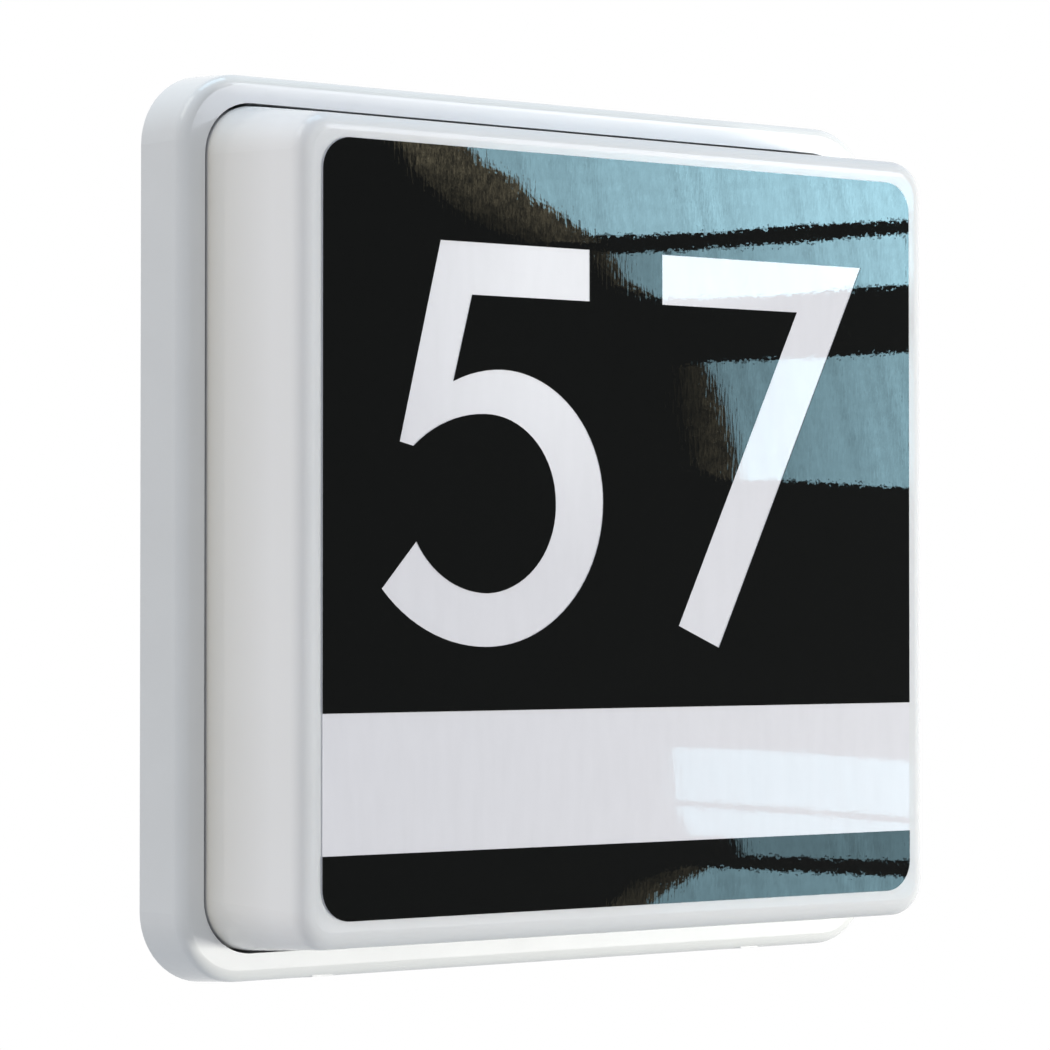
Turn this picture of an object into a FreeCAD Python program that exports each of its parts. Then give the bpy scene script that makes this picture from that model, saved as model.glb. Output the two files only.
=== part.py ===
"""Wall-mounted illuminated house number sign, in millimetres.

The sign is a shallow moulded housing that screws to the wall and a deep opal diffuser that plugs into it.
Black film on the diffuser's face leaves two plain numerals and a plain band below them clear for the light.
The origin is the centre of the back face, on the wall. +X is right and +Z is up as one faces the sign,
and the sign stands out from the wall along -Y, so a distance out from the wall is minus Y.
"""

import FreeCAD, Part
import math
import os
from FreeCAD import Vector

# ---------------------------------------------------------------- driving sizes of the diffuser
diffuser_side = 210.0  # across the skirt, where it enters the housing
diffuser_corner_r = 13.0  # at the skirt, and smaller by the taper at the face
diffuser_wall = 2.2
diffuser_taper = 3.8  # how far each side leans in between the flange and the face
face_drop = 1.3  # how far the face's middle lies below the skirt's
diffuser_edge_r = 4.5  # rounding round the face
overall_depth = 53.0  # from the wall to the diffuser's face

# ---------------------------------------------------------------- housing
skirt_gap = 0.75  # the dark line between the housing and the diffuser
flange_width = 8.1  # from the housing's opening to its outer edge, at the wall
housing_rise = 17.0  # from the wall to the flange's front
housing_lean = 1.2  # how far each outer side leans in over that rise
housing_corner_r = 18.5
housing_edge_r = 3.0
housing_wall = 2.5
inner_wall = 2.3
flange_thick = 2.5
floor_thick = 2.5
rib_thick = 1.6
ribs_per_side = 4
guide_clearance = 0.3  # between the housing's guide pads and the skirt
guide_width = 8.0
guide_top = 10.0  # how far out the guide pads reach
guides_per_side = 2
pad_height = 3.0  # how far screw pads stand off the floor
pad_r = 4.0
touch_gap = 0.05  # between a screw's shank and its hole
end_flat = 0.01  # half the flat left at the ends of slots and long pads
tip_gap = 0.5  # between a screw's tip and the bottom of its hole

# ---------------------------------------------------------------- seals
seal_depth = 5.0
seal_clearance = 0.2
gasket_thick = 2.5
gasket_width = 4.5
gasket_gap = 0.2  # between the gasket and the skirt's foot

# ---------------------------------------------------------------- films on the face
film_margin = 1.7  # bare flat face round the film
film_rise = 0.5  # how far the film's middle lies above the face's
film_corner_r = 8.0
backing_film_thick = 0.2
black_film_thick = 0.15
clear_band_height = 34.4
footer_height = 15.9
numerals_top_margin = 23.5
numerals_foot_margin = 15.6
numerals_spacing = 19.2
five_width = 68.0  # in hundredths of the numerals' height, as are the outlines
seven_width = 67.5

# ---------------------------------------------------------------- wall slots and cable entry
slot_half_width = 2.6
slot_length = 8.0
slot_pad_wall = 1.5
slot_spacing_z = 100.0
entry_x = 52.0
entry_z = -48.0
entry_bore_r = 3.75
grommet_neck_r = 5.5
grommet_lip = 2.0
grommet_lip_thick = 1.5
grommet_rounding_share = 0.5  # of the lip's thickness

# ---------------------------------------------------------------- gear tray and lamp boards
tray_margin = 13.8  # between the skirt and the gear tray
tray_out = 24.0  # from the wall to the tray's front
tray_sheet = 1.0
tray_rim = 6.0
tray_corner_r = 6.0
tray_bend_r = 0.9
post_inset = 8.0  # from the tray's edge to its screws
post_r = 4.5
bushing_x = 83.0
bushing_z = 20.0
bushing_neck_r = 3.2
bushing_bore_r = 2.3
bushing_lip = 1.2
board_count = 4
board_width = 11.0
board_end_inset = 14.0  # from the tray's edge to the end of each board
board_thick = 1.2
board_corner_r = 1.0
board_screw_inset = 4.0
chips_per_board = 8
chip_width = 2.8
chip_length = 3.5
chip_thick = 0.8
chip_end_inset = 19.0
connector_width = 5.0
connector_length = 6.0
connector_height = 2.6
connector_inset = 10.5  # from the board's end to the connector's middle
jumper_bow = 2.0  # how far the short leads between boards bow out

# ---------------------------------------------------------------- driver
driver_length = 92.0
driver_width = 36.0
driver_height = 15.0
driver_wall = 1.8
driver_lid_thick = 1.6
driver_x = 0.0
driver_z = 44.0
driver_ear_length = 10.0
driver_ear_width = 14.0
driver_ear_thick = 2.4
driver_standoff = 1.5
driver_post_r = 2.0
driver_post_inset = 12.0  # from the case's inner end to the posts under the circuit board
driver_board_thick = 1.6
driver_board_gap = 1.5
transformer_size = (18.0, 16.0, 7.5)
transformer_core_share = 0.6  # the core's width, and the winding's length, against the whole
transformer_winding_share = 0.8  # the winding's height against the core's
capacitor_r = 3.6
capacitor_length = 13.0
capacitor_pitch = 9.0
capacitor_start = 20.8  # from the driver's middle to the far ends of the capacitors

# ---------------------------------------------------------------- terminal block and cable clamp
pole_count = 3
pole_pitch = 10.0
terminal_width = 20.0
terminal_height = 13.0
terminal_x = -8.0
terminal_z = entry_z
terminal_corner_r = 1.5
terminal_ear = 8.0
terminal_ear_width = 12.0
terminal_ear_thick = 3.0
clamp_tube_r = 2.8
clamp_tube_length = 12.0
wire_hole_r = 1.5
terminal_screw_r = 1.4
terminal_screw_depth = 1.0  # from the block's front to the screws' heads
terminal_slot = 0.7  # width and depth of the slot in each screw's head
cable_clamp_x = 28.0
cable_clamp_width = 8.0
cable_clamp_span = 18.0  # between its two screws
cable_clamp_thick = 2.5
cable_clamp_corner_r = 2.0
cable_clamp_groove = 1.0  # how deep the cable lies in the clamp's underside
cable_clamp_out = 11.0  # underside of the clamp, which leaves room for the cable

# ---------------------------------------------------------------- screws and wires
tapping_screw_r = 1.5
tapping_screw_head_r = 2.9
tapping_screw_head = 2.0
tapping_screw_length = 5.0
board_screw_r = 1.25
board_screw_head_r = 2.3
board_screw_head = 1.5
board_screw_length = 4.0
recess_share = 0.62  # how much of a screw's head its cross recess spans
recess_depth_share = 0.55  # of the head's height
head_rounding_share = 0.45  # of the head's height
lock_screw_r = 2.0
lock_head_r = 3.4
lock_head = 2.0
lock_socket_share = 0.45  # the hexagon's corner radius against the head's radius
lock_socket_depth_share = 0.6  # of the head's height
lock_screw_x = 70.0
lock_tip_gap = 0.3  # between the screw's tip and the skirt
lock_boss_wall = 2.0
lock_well_clearance = 0.4
lock_well_floor = 1.2  # plastic left between the head's well and the threaded insert
lock_insert_r = 3.1
lock_washer_thick = 0.8
lock_washer_clearance = 0.1
wire_d = 2.0
wire_lane = 5.0  # how far apart the supply wires run
lead_d = 1.4
lug_r = 3.6
lug_thick = 0.8
lug_barrel = 5.0

# ---------------------------------------------------------------- wire routes, as offsets along x, out and z
supply_leave_x = 14.0  # straight out of the terminal block
supply_turn_x, supply_turn_z = 32.0, 9.0  # where a supply wire turns upwards, from its clamp
supply_side_x, supply_side_z = 14.0, 9.0  # beside the driver's end, and below halfway up
supply_rise_x, supply_rise_z = 15.0, 26.0  # beside the driver's end, and below its hole
supply_bend_x, supply_bend_z = 12.0, 6.0  # where it turns towards the hole
supply_enter_x = 7.0  # straight into the driver
earth_dip_x, earth_dip_out, earth_dip_z = 28.0, 1.0, 5.0  # where the earth wire drops, from its clamp
earth_sag_x, earth_sag_out, earth_sag_z = 14.0, 2.5, 4.0  # its lowest stretch, from the lug's barrel
earth_enter_x = 4.0  # straight into the lug's barrel
lead_leave_x = 6.0  # straight out of the driver
lead_turn_x, lead_turn_z, lead_spread = 17.0, 10.0, 3.0  # where the lamp leads turn down and draw together
lead_gather_x, lead_gather_z = 7.0, 4.0  # just before the bushing
lead_pair_share = 0.7  # of a lead's diameter, to each side of the bushing's middle
lead_behind = 3.0  # how far out the leads are as they meet the bushing, from the driver's holes
lead_front = 3.5  # in front of the bushing, where the leads turn up
lead_climb_out, lead_climb_z = 1.5, 9.0
lead_rise_x, lead_rise_out, lead_rise_z = 1.5, 1.0, 24.0
lead_near_out, lead_near_z = 0.5, 10.0  # below the connector's wire holes
lead_enter_x = 6.0  # straight into the connector

# ---------------------------------------------------------------- sizes that follow
skirt_inner_side = diffuser_side - 2 * diffuser_wall
opening_side = diffuser_side + 2 * skirt_gap
opening_corner_r = diffuser_corner_r + skirt_gap
housing_side = opening_side + 2 * flange_width
inner_wall_side = opening_side + 2 * inner_wall
inner_wall_corner_r = opening_corner_r + inner_wall
gasket_inner_side = opening_side - 2 * gasket_width
skirt_foot_out = floor_thick + gasket_thick + gasket_gap
face_side = diffuser_side - 2 * diffuser_taper - 2 * diffuser_edge_r
film_side = face_side - 2 * film_margin
film_z = film_rise - face_drop
film_top = film_z + film_side / 2
field_height = film_side - clear_band_height - footer_height
numeral_height = field_height - numerals_top_margin - numerals_foot_margin
tray_side = skirt_inner_side - 2 * tray_margin
post_place = tray_side / 2 - post_inset
slot_x = (tray_side / 2 + gasket_inner_side / 2) / 2
pad_out = floor_thick + pad_height
board_length = tray_side - 2 * board_end_inset
board_pitch = tray_side / board_count
board_out = tray_out + board_thick
driver_out = pad_out + driver_height
terminal_length = pole_count * pole_pitch
terminal_wire_out = pad_out + terminal_height / 2
lock_boss_r = lock_head_r + lock_well_clearance + lock_boss_wall
lock_out = housing_rise - flange_thick - lock_head_r - lock_well_clearance
lock_skirt_z = -diffuser_side / 2
lock_tip_z = lock_skirt_z - lock_tip_gap
lock_wall_z = -opening_side / 2
lock_outer_z = -(housing_side / 2 - housing_lean * lock_out / housing_rise)
lock_well_depth = lock_head + lock_washer_thick + lock_well_clearance
lock_well_z = lock_outer_z + lock_well_depth
lock_insert_z = lock_well_z + lock_well_floor

PARTS = "parts"
FORWARD = Vector(0, -1, 0)
UP = Vector(0, 0, 1)
RIGHT = Vector(1, 0, 0)


# ---------------------------------------------------------------- building blocks
def place(x, out, z):
    """A point at x and z, a distance out from the wall."""
    return Vector(x, -out, z)


def outline(width, height, corner_r, out, x=0.0, z=0.0):
    """Closed wire of a rounded rectangle parallel to the wall."""
    w, h, r = width / 2, height / 2, corner_r
    bulge = r * (1 - math.sqrt(0.5))
    edges = []
    corners = [(1, 1, True), (-1, 1, False), (-1, -1, True), (1, -1, False)]
    previous = None
    for sx, sz, side_first in corners:
        on_side = place(x + sx * w, out, z + sz * (h - r))
        on_top = place(x + sx * (w - r), out, z + sz * h)
        middle = place(x + sx * (w - bulge), out, z + sz * (h - bulge))
        start, end = (on_side, on_top) if side_first else (on_top, on_side)
        if previous is not None:
            edges.append(Part.LineSegment(previous, start).toShape())
        edges.append(Part.Arc(start, middle, end).toShape())
        previous = end
    first = place(x + w, out, z + h - r)
    edges.append(Part.LineSegment(previous, first).toShape())
    return Part.Wire(edges)


def plate(width, height, corner_r, out_from, out_to, x=0.0, z=0.0):
    """Rounded plate parallel to the wall, between two distances out."""
    face = Part.Face(outline(width, height, corner_r, out_from, x, z))
    return face.extrude(FORWARD * (out_to - out_from))


def block(width, height, out_from, out_to, x=0.0, z=0.0):
    """Plain block parallel to the wall, centred on x and z."""
    corner = place(x - width / 2, out_to, z - height / 2)
    return Part.makeBox(width, out_to - out_from, height, corner)


def rod(radius, out_from, out_to, x=0.0, z=0.0):
    """Round rod square to the wall."""
    return Part.makeCylinder(radius, out_to - out_from, place(x, out_from, z), FORWARD)


def tapered(side_back, side_front, r_back, r_front, out_from, out_to, front_z=0.0):
    """Square block with round corners whose sides lean in between two distances out."""
    back = outline(side_back, side_back, r_back, out_from)
    front = outline(side_front, side_front, r_front, out_to, z=front_z)
    return Part.makeLoft([back, front], True, True)


def round_front_edges(solid, out, radius):
    """Rounds the edges that lie in the plane a distance out from the wall."""
    edges = [e for e in solid.Edges if all(abs(v.Point.y + out) < 1e-6 for v in e.Vertexes)]
    return solid.makeFillet(radius, edges)


def fused(solids):
    """One solid made of many that touch."""
    return solids[0].multiFuse(solids[1:]).removeSplitter() if len(solids) > 1 else solids[0]


def around_square(count, side):
    """Places along the four sides of a square, as x, z and whether the side there runs along X."""
    spots = []
    for k in range(count):
        along = side * ((k + 0.5) / count - 0.5)
        for sign in (1, -1):
            spots.append((along, sign * side / 2, True))
            spots.append((sign * side / 2, along, False))
    return spots


def cross_recess(radius, depth, out, x, z):
    """Cutter for a cross recess in a screw's head that faces the room."""
    span = 2 * radius * recess_share
    bar = span / 4
    return block(span, bar, out - depth, out, x, z).fuse(block(bar, span, out - depth, out, x, z))


def screw(shank_r, head_r, head, length, seat_out, x, z):
    """Pan-head screw driven towards the wall, its head seated at seat_out."""
    top = seat_out + head
    solid = rod(head_r, seat_out, top, x, z)
    solid = round_front_edges_of_disc(solid, top, head * head_rounding_share)
    solid = solid.fuse(rod(shank_r, seat_out - length, seat_out, x, z))
    return solid.cut(cross_recess(head_r, head * recess_depth_share, top, x, z)).removeSplitter()


def round_front_edges_of_disc(solid, out, radius):
    """Rounds the rim of a disc's front face."""
    edges = [e for e in solid.Edges if abs(e.CenterOfMass.y + out) < 1e-6 and e.Closed]
    return solid.makeFillet(radius, edges)


def bends(points):
    """The tangent arc at each inner point of a route, as large as its two runs allow.

    Each is the arc's start, middle, end and radius.
    """
    found = []
    for before, corner, after in zip(points, points[1:], points[2:]):
        inward = (before - corner).normalize()
        onward = (after - corner).normalize()
        half_turn = (math.pi - inward.getAngle(onward)) / 2
        reach = 0.45 * min((corner - before).Length, (after - corner).Length)
        radius = reach / math.tan(half_turn)
        bisector = (inward + onward).normalize()
        middle = corner + bisector * (math.hypot(reach, radius) - radius)
        found.append((corner + inward * reach, middle, corner + onward * reach, radius))
    return found


def path_with_bends(points):
    """Wire of straight runs joined by tangent arcs."""
    edges = []
    here = points[0]
    for start, middle, end, _ in bends(points):
        edges.append(Part.LineSegment(here, start).toShape())
        edges.append(Part.Arc(start, middle, end).toShape())
        here = end
    edges.append(Part.LineSegment(here, points[-1]).toShape())
    return Part.Wire(edges)


def wire(points, diameter):
    """Round insulated wire along a route of points."""
    spine = path_with_bends(points)
    ring = Part.Wire(Part.makeCircle(diameter / 2, points[0], points[1] - points[0]))
    return spine.makePipeShell([ring], True, False)


def save(name, shape):
    """Writes one sub-part."""
    shape.exportStep(os.path.join(PARTS, name + ".step"))


# ---------------------------------------------------------------- housing
def outer_shell(inset, corner_r, out_to):
    """The housing's outer form, set in by a wall thickness, from the wall to a distance out."""
    lean = housing_lean * out_to / housing_rise
    side = housing_side - 2 * inset
    return tapered(side, side - 2 * lean, corner_r, corner_r - lean, 0.0, out_to)


def rim_hollow():
    """Space between the housing's outer and inner walls, open towards the wall."""
    depth = housing_rise - flange_thick
    space = outer_shell(housing_wall, housing_corner_r - housing_wall, depth)
    return space.cut(plate(inner_wall_side, inner_wall_side, inner_wall_corner_r, 0.0, depth))


def rim_ribs():
    """Thin ribs that tie the two walls together in front of the wall seal."""
    depth = housing_rise - flange_thick
    reach = 2 * flange_width
    ribs = []
    for x, z, along_x in around_square(ribs_per_side, opening_side):
        width, height = (rib_thick, reach) if along_x else (reach, rib_thick)
        ribs.append(block(width, height, seal_depth, depth, x, z))
    return Part.makeCompound(ribs).common(rim_hollow())


def guide_pads():
    """Pads on the inner wall that keep the skirt centred."""
    thick = skirt_gap - guide_clearance
    pads = []
    for x, z, along_x in around_square(guides_per_side, opening_side - thick):
        width, height = (guide_width, thick) if along_x else (thick, guide_width)
        pads.append(block(width, height, floor_thick + gasket_thick, guide_top, x, z))
    return pads


def tray_posts():
    """Places of the four posts that carry the gear tray."""
    return [(sx * post_place, sz * post_place) for sx in (-1, 1) for sz in (-1, 1)]


def slot_places():
    """Centres of the four wall slots."""
    return [(sx * slot_x, sz * slot_spacing_z / 2) for sx in (-1, 1) for sz in (-1, 1)]


def driver_screw_places():
    """Centres of the driver's two screws."""
    reach = driver_length / 2 + driver_ear_length / 2
    return [(driver_x + s * reach, driver_z) for s in (-1, 1)]


def terminal_screw_places():
    """Centres of the two screws that hold the terminal block."""
    reach = terminal_length / 2 + terminal_ear / 2
    return [(terminal_x, terminal_z + s * reach) for s in (-1, 1)]


def cable_clamp_places():
    """Centres of the cable clamp's two screws."""
    return [(cable_clamp_x, entry_z + s * cable_clamp_span / 2) for s in (-1, 1)]


def lock_places():
    """The x of each lock screw in the housing's bottom side."""
    return (-lock_screw_x, lock_screw_x)


def upright_rod(radius, z_from, z_to, x):
    """Rod along Z on a lock screw's axis."""
    return Part.makeCylinder(radius, z_to - z_from, place(x, lock_out, z_from), UP)


def fixings():
    """The housing's screw pads: places, how far out the pads and the screws' seats are, and radius."""
    return [
        (tray_posts(), tray_out - tray_sheet, tray_out, post_r),
        (driver_screw_places(), pad_out, pad_out + driver_ear_thick, pad_r),
        (terminal_screw_places(), pad_out, pad_out + terminal_ear_thick, pad_r),
        (cable_clamp_places(), cable_clamp_out, cable_clamp_out + cable_clamp_thick, pad_r),
    ]


def make_base_housing():
    """Moulded tray with a hollow rim, screw pads, posts and the lock screws' bosses."""
    body = outer_shell(0.0, housing_corner_r, housing_rise)
    body = round_front_edges(body, housing_rise, housing_edge_r)
    body = body.cut(rim_hollow())
    body = body.cut(plate(opening_side, opening_side, opening_corner_r, floor_thick, housing_rise))
    added = [body, rim_ribs()] + guide_pads()
    for x, z in slot_places():
        pad = 2 * (slot_half_width + slot_pad_wall)
        length = slot_length + 2 * slot_pad_wall
        added.append(plate(length, pad, pad / 2 - end_flat, 0.0, pad_out, x, z))
    for places, top, seat, radius in fixings():
        added += [rod(radius, 0.0, top, x, z) for x, z in places]
    for x in lock_places():
        boss = upright_rod(lock_boss_r, -housing_side / 2, lock_wall_z, x)
        added.append(boss.common(outer_shell(0.0, housing_corner_r, housing_rise - flange_thick / 2)))
    body = fused(added)
    cuts = [rod(grommet_neck_r, 0.0, floor_thick, entry_x, entry_z)]
    for x, z in slot_places():
        end_r = slot_half_width - end_flat
        cuts.append(plate(slot_length, 2 * slot_half_width, end_r, 0.0, pad_out, x, z))
    for places, top, seat, radius in fixings():
        bottom = seat - tapping_screw_length - tip_gap
        cuts += [rod(tapping_screw_r + touch_gap, bottom, top, x, z) for x, z in places]
    for x in lock_places():
        cuts.append(upright_rod(lock_head_r + lock_well_clearance, -housing_side, lock_well_z, x))
        cuts.append(upright_rod(lock_screw_r + touch_gap, lock_well_z, lock_skirt_z, x))
        cuts.append(upright_rod(lock_insert_r, lock_insert_z, lock_wall_z, x))
    return body.cut(cuts).removeSplitter()


def make_wall_seal():
    """Foam ring in the rim's hollow, flush with the back."""
    inset = housing_wall + housing_lean * seal_depth / housing_rise + seal_clearance
    side, corner_r = housing_side - 2 * inset, housing_corner_r - inset
    ring = plate(side, side, corner_r, 0.0, seal_depth)
    ring = ring.cut(plate(inner_wall_side, inner_wall_side, inner_wall_corner_r, 0.0, seal_depth))
    notch_r = lock_boss_r + seal_clearance
    return ring.cut([upright_rod(notch_r, -housing_side, lock_wall_z, x) for x in lock_places()])


def make_skirt_gasket():
    """Soft ring on the floor that the skirt's foot presses on."""
    top = floor_thick + gasket_thick
    inner_r = opening_corner_r - gasket_width
    ring = plate(opening_side, opening_side, opening_corner_r, floor_thick, top)
    return ring.cut(plate(gasket_inner_side, gasket_inner_side, inner_r, floor_thick, top))


def grommet(neck_r, bore_r, lip, lip_thick, sheet_from, sheet_to, x, z):
    """Rubber grommet seated in a sheet, with a lip on the room's side and one on the wall's side."""
    front = rod(neck_r + lip, sheet_to, sheet_to + lip_thick, x, z)
    front = round_front_edges_of_disc(front, sheet_to + lip_thick, lip_thick * grommet_rounding_share)
    neck = rod(neck_r, sheet_from, sheet_to, x, z)
    back = rod(neck_r + lip / 2, sheet_from - lip_thick, sheet_from, x, z)
    body = front.fuse([neck, back]) if sheet_from >= lip_thick else front.fuse(neck)
    return body.cut(rod(bore_r, sheet_from - lip_thick, sheet_to + lip_thick, x, z)).removeSplitter()


def make_cable_grommet():
    """Grommet where the supply cable comes in through the housing's floor."""
    lip, thick = grommet_lip, grommet_lip_thick
    return grommet(grommet_neck_r, entry_bore_r, lip, thick, 0.0, floor_thick, entry_x, entry_z)


# ---------------------------------------------------------------- gear tray and lamp boards
def board_places():
    """The x of each lamp board, spread evenly over the tray."""
    return [board_pitch * (k + 0.5 - board_count / 2) for k in range(board_count)]


def board_screw_places():
    """Centres of the screws at both ends of each lamp board."""
    reach = board_length / 2 - board_screw_inset
    return [(x, s * reach) for x in board_places() for s in (-1, 1)]


def connector_z():
    """Height of the connectors' middles, near the boards' upper ends."""
    return board_length / 2 - connector_inset


def make_gear_tray():
    """Sheet-metal tray with a folded rim, which carries the lamp boards."""
    back = tray_out - tray_rim
    inner = tray_side - 2 * tray_sheet
    body = plate(tray_side, tray_side, tray_corner_r, back, tray_out)
    body = round_front_edges(body, tray_out, tray_bend_r)
    cuts = [plate(inner, inner, tray_corner_r - tray_sheet, back, tray_out - tray_sheet)]
    for x, z in tray_posts():
        cuts.append(rod(tapping_screw_r + touch_gap, back, tray_out, x, z))
    for x, z in board_screw_places():
        cuts.append(rod(board_screw_r + touch_gap, back, tray_out, x, z))
    cuts.append(rod(bushing_neck_r, back, tray_out, bushing_x, bushing_z))
    cuts.append(rod(tapping_screw_r + touch_gap, back, tray_out, *earth_place()))
    return body.cut(cuts)


def make_wire_bushing():
    """Small grommet where the lamp leads come forward through the gear tray."""
    sheet_from = tray_out - tray_sheet
    lip = bushing_lip
    return grommet(bushing_neck_r, bushing_bore_r, lip, lip, sheet_from, tray_out, bushing_x, bushing_z)


def make_board(x):
    """One lamp board, an aluminium-cored strip."""
    body = plate(board_width, board_length, board_corner_r, tray_out, board_out, x)
    reach = board_length / 2 - board_screw_inset
    return body.cut([rod(board_screw_r + touch_gap, tray_out, board_out, x, s * reach) for s in (-1, 1)])


def make_chips():
    """All the light-emitting chips, in a row down the middle of each board."""
    top = connector_z() - connector_length
    bottom = chip_end_inset - board_length / 2
    step = (top - bottom) / (chips_per_board - 1)
    chips = []
    for x in board_places():
        for k in range(chips_per_board):
            z = bottom + k * step
            chips.append(block(chip_width, chip_length, board_out, board_out + chip_thick, x, z))
    return Part.makeCompound(chips)


def make_connectors():
    """Push-in connectors, one near the upper end of each board."""
    bodies = []
    top = board_out + connector_height
    for x in board_places():
        body = block(connector_width, connector_length, board_out, top, x, connector_z())
        for s in (-1, 1):
            start = place(x - connector_width / 2, connector_out(), connector_hole_z(s))
            body = body.cut(Part.makeCylinder(lead_d / 2, connector_width, start, RIGHT))
        bodies.append(body)
    return Part.makeCompound(bodies)


def connector_out():
    """Distance out of the connectors' wire holes."""
    return board_out + connector_height / 2


def connector_hole_z(sign):
    """Height of the upper or lower wire holes of the connectors."""
    return connector_z() + sign * connector_length / 4


def make_jumpers():
    """Pairs of short leads that bow from each board to the next."""
    leads = []
    for left, right in zip(board_places(), board_places()[1:]):
        for sign in (-1, 1):
            leads.append(wire(jumper_route(left, right, sign), lead_d))
    return Part.makeCompound(leads)


def jumper_route(left, right, sign):
    """Route of one short lead between the boards at two places."""
    start, end = left + connector_width / 4, right - connector_width / 4
    run = (end - start) / 5
    out, z = connector_out(), connector_hole_z(sign)
    bowed_out, bowed_z = out + jumper_bow, z + sign * jumper_bow
    return [
        place(start, out, z),
        place(start + run, out, z),
        place(start + 2 * run, bowed_out, bowed_z),
        place(end - 2 * run, bowed_out, bowed_z),
        place(end - run, out, z),
        place(end, out, z),
    ]


# ---------------------------------------------------------------- driver
def driver_inside_out():
    """Distance out of the driver's inner floor."""
    return pad_out + driver_wall


def driver_board_out():
    """Distance out of the front of the driver's circuit board."""
    return driver_inside_out() + driver_standoff + driver_board_thick


def driver_wire_z(sign):
    """Height of one of the two wires at either end of the driver."""
    return driver_z + sign * driver_width / 5


def driver_wire_out():
    """Distance out of the holes in the driver's ends."""
    return driver_board_out() + wire_d


def make_driver_case():
    """Open box with an ear at each end, standoffs inside and wire holes in its ends."""
    x, z = driver_x, driver_z
    top = driver_out - driver_lid_thick
    body = plate(driver_length, driver_width, driver_wall, pad_out, top, x, z)
    inner_l, inner_w = driver_length - 2 * driver_wall, driver_width - 2 * driver_wall
    body = body.cut(block(inner_l, inner_w, driver_inside_out(), top, x, z))
    floor, ear_out = driver_inside_out(), pad_out + driver_ear_thick
    added = [body]
    cuts = []
    for ear_x, ear_z in driver_screw_places():
        added.append(block(driver_ear_length, driver_ear_width, pad_out, ear_out, ear_x, ear_z))
        cuts.append(rod(tapping_screw_r + touch_gap, pad_out, driver_out, ear_x, ear_z))
    for sx in (-1, 1):
        post_x = x + sx * (inner_l / 2 - driver_post_inset)
        added.append(rod(driver_post_r, floor, floor + driver_standoff, post_x, z))
    body = fused(added)
    for sx, diameter in ((-1, wire_d), (1, lead_d)):
        for sz in (-1, 1):
            start = place(x + sx * (driver_length / 2 - driver_wall), driver_wire_out(), driver_wire_z(sz))
            cuts.append(Part.makeCylinder(diameter / 2 + touch_gap, driver_wall, start, RIGHT * sx))
    return body.cut(cuts).removeSplitter()


def make_driver_lid():
    """Lid with a lip that drops inside the case."""
    x, z = driver_x, driver_z
    seat = driver_out - driver_lid_thick
    lip_depth = driver_lid_thick
    lid = plate(driver_length, driver_width, driver_wall, seat, driver_out, x, z)
    lip_l = driver_length - 2 * driver_wall - 2 * touch_gap
    lip_w = driver_width - 2 * driver_wall - 2 * touch_gap
    lip = block(lip_l, lip_w, seat - lip_depth, seat, x, z)
    lip = lip.cut(block(lip_l - 2 * driver_wall, lip_w - 2 * driver_wall, seat - lip_depth, seat, x, z))
    return lid.fuse(lip).removeSplitter()


def make_driver_board():
    """The driver's circuit board on its standoffs."""
    length = driver_length - 2 * (driver_wall + driver_board_gap)
    width = driver_width - 2 * (driver_wall + driver_board_gap)
    back = driver_board_out() - driver_board_thick
    return block(length, width, back, driver_board_out(), driver_x, driver_z)


def make_transformer():
    """Ferrite core with a winding showing on both sides."""
    length, width, height = transformer_size
    out = driver_board_out()
    x, z = driver_x + length, driver_z
    core = block(length, width * transformer_core_share, out, out + height, x, z)
    winding_top = out + height * transformer_winding_share
    winding = block(length * transformer_core_share, width, out, winding_top, x, z)
    return core.fuse(winding).removeSplitter()


def make_capacitors():
    """Two electrolytic capacitors that lie on the circuit board."""
    cans = []
    for sz in (-1, 1):
        z = driver_z + sz * capacitor_pitch / 2
        start = place(driver_x - capacitor_start, driver_board_out() + capacitor_r, z)
        cans.append(Part.makeCylinder(capacitor_r, capacitor_length, start, RIGHT))
    return Part.makeCompound(cans)


# ---------------------------------------------------------------- terminal block and cable clamp
def pole_z(k):
    """Height of pole k of the terminal block, counted from the bottom."""
    return terminal_z + pole_pitch * (k + 0.5 - pole_count / 2)


def clamp_tube(k, radius, length):
    """Rod along X through pole k."""
    start = place(terminal_x - length / 2, terminal_wire_out, pole_z(k))
    return Part.makeCylinder(radius, length, start, RIGHT)


def terminal_screw_reach(k):
    """Places of the two screws in pole k."""
    return [(terminal_x + s * clamp_tube_length / 4, pole_z(k)) for s in (-1, 1)]


def make_terminal_block():
    """Three-pole block with a wire hole and two screw wells for each pole."""
    x, z = terminal_x, terminal_z
    top = pad_out + terminal_height
    body = plate(terminal_width, terminal_length, terminal_corner_r, pad_out, top, x, z)
    ears_length = terminal_length + 2 * terminal_ear
    ear_out = pad_out + terminal_ear_thick
    body = body.fuse(plate(terminal_ear_width, ears_length, terminal_corner_r, pad_out, ear_out, x, z))
    cuts = [rod(tapping_screw_r + touch_gap, pad_out, top, x, z) for x, z in terminal_screw_places()]
    for k in range(pole_count):
        cuts.append(clamp_tube(k, clamp_tube_r, clamp_tube_length))
        cuts.append(clamp_tube(k, wire_hole_r + touch_gap, terminal_width))
        for x, z in terminal_screw_reach(k):
            cuts.append(rod(terminal_screw_r + 2 * touch_gap, terminal_wire_out, top, x, z))
    return body.cut(cuts).removeSplitter()


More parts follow.
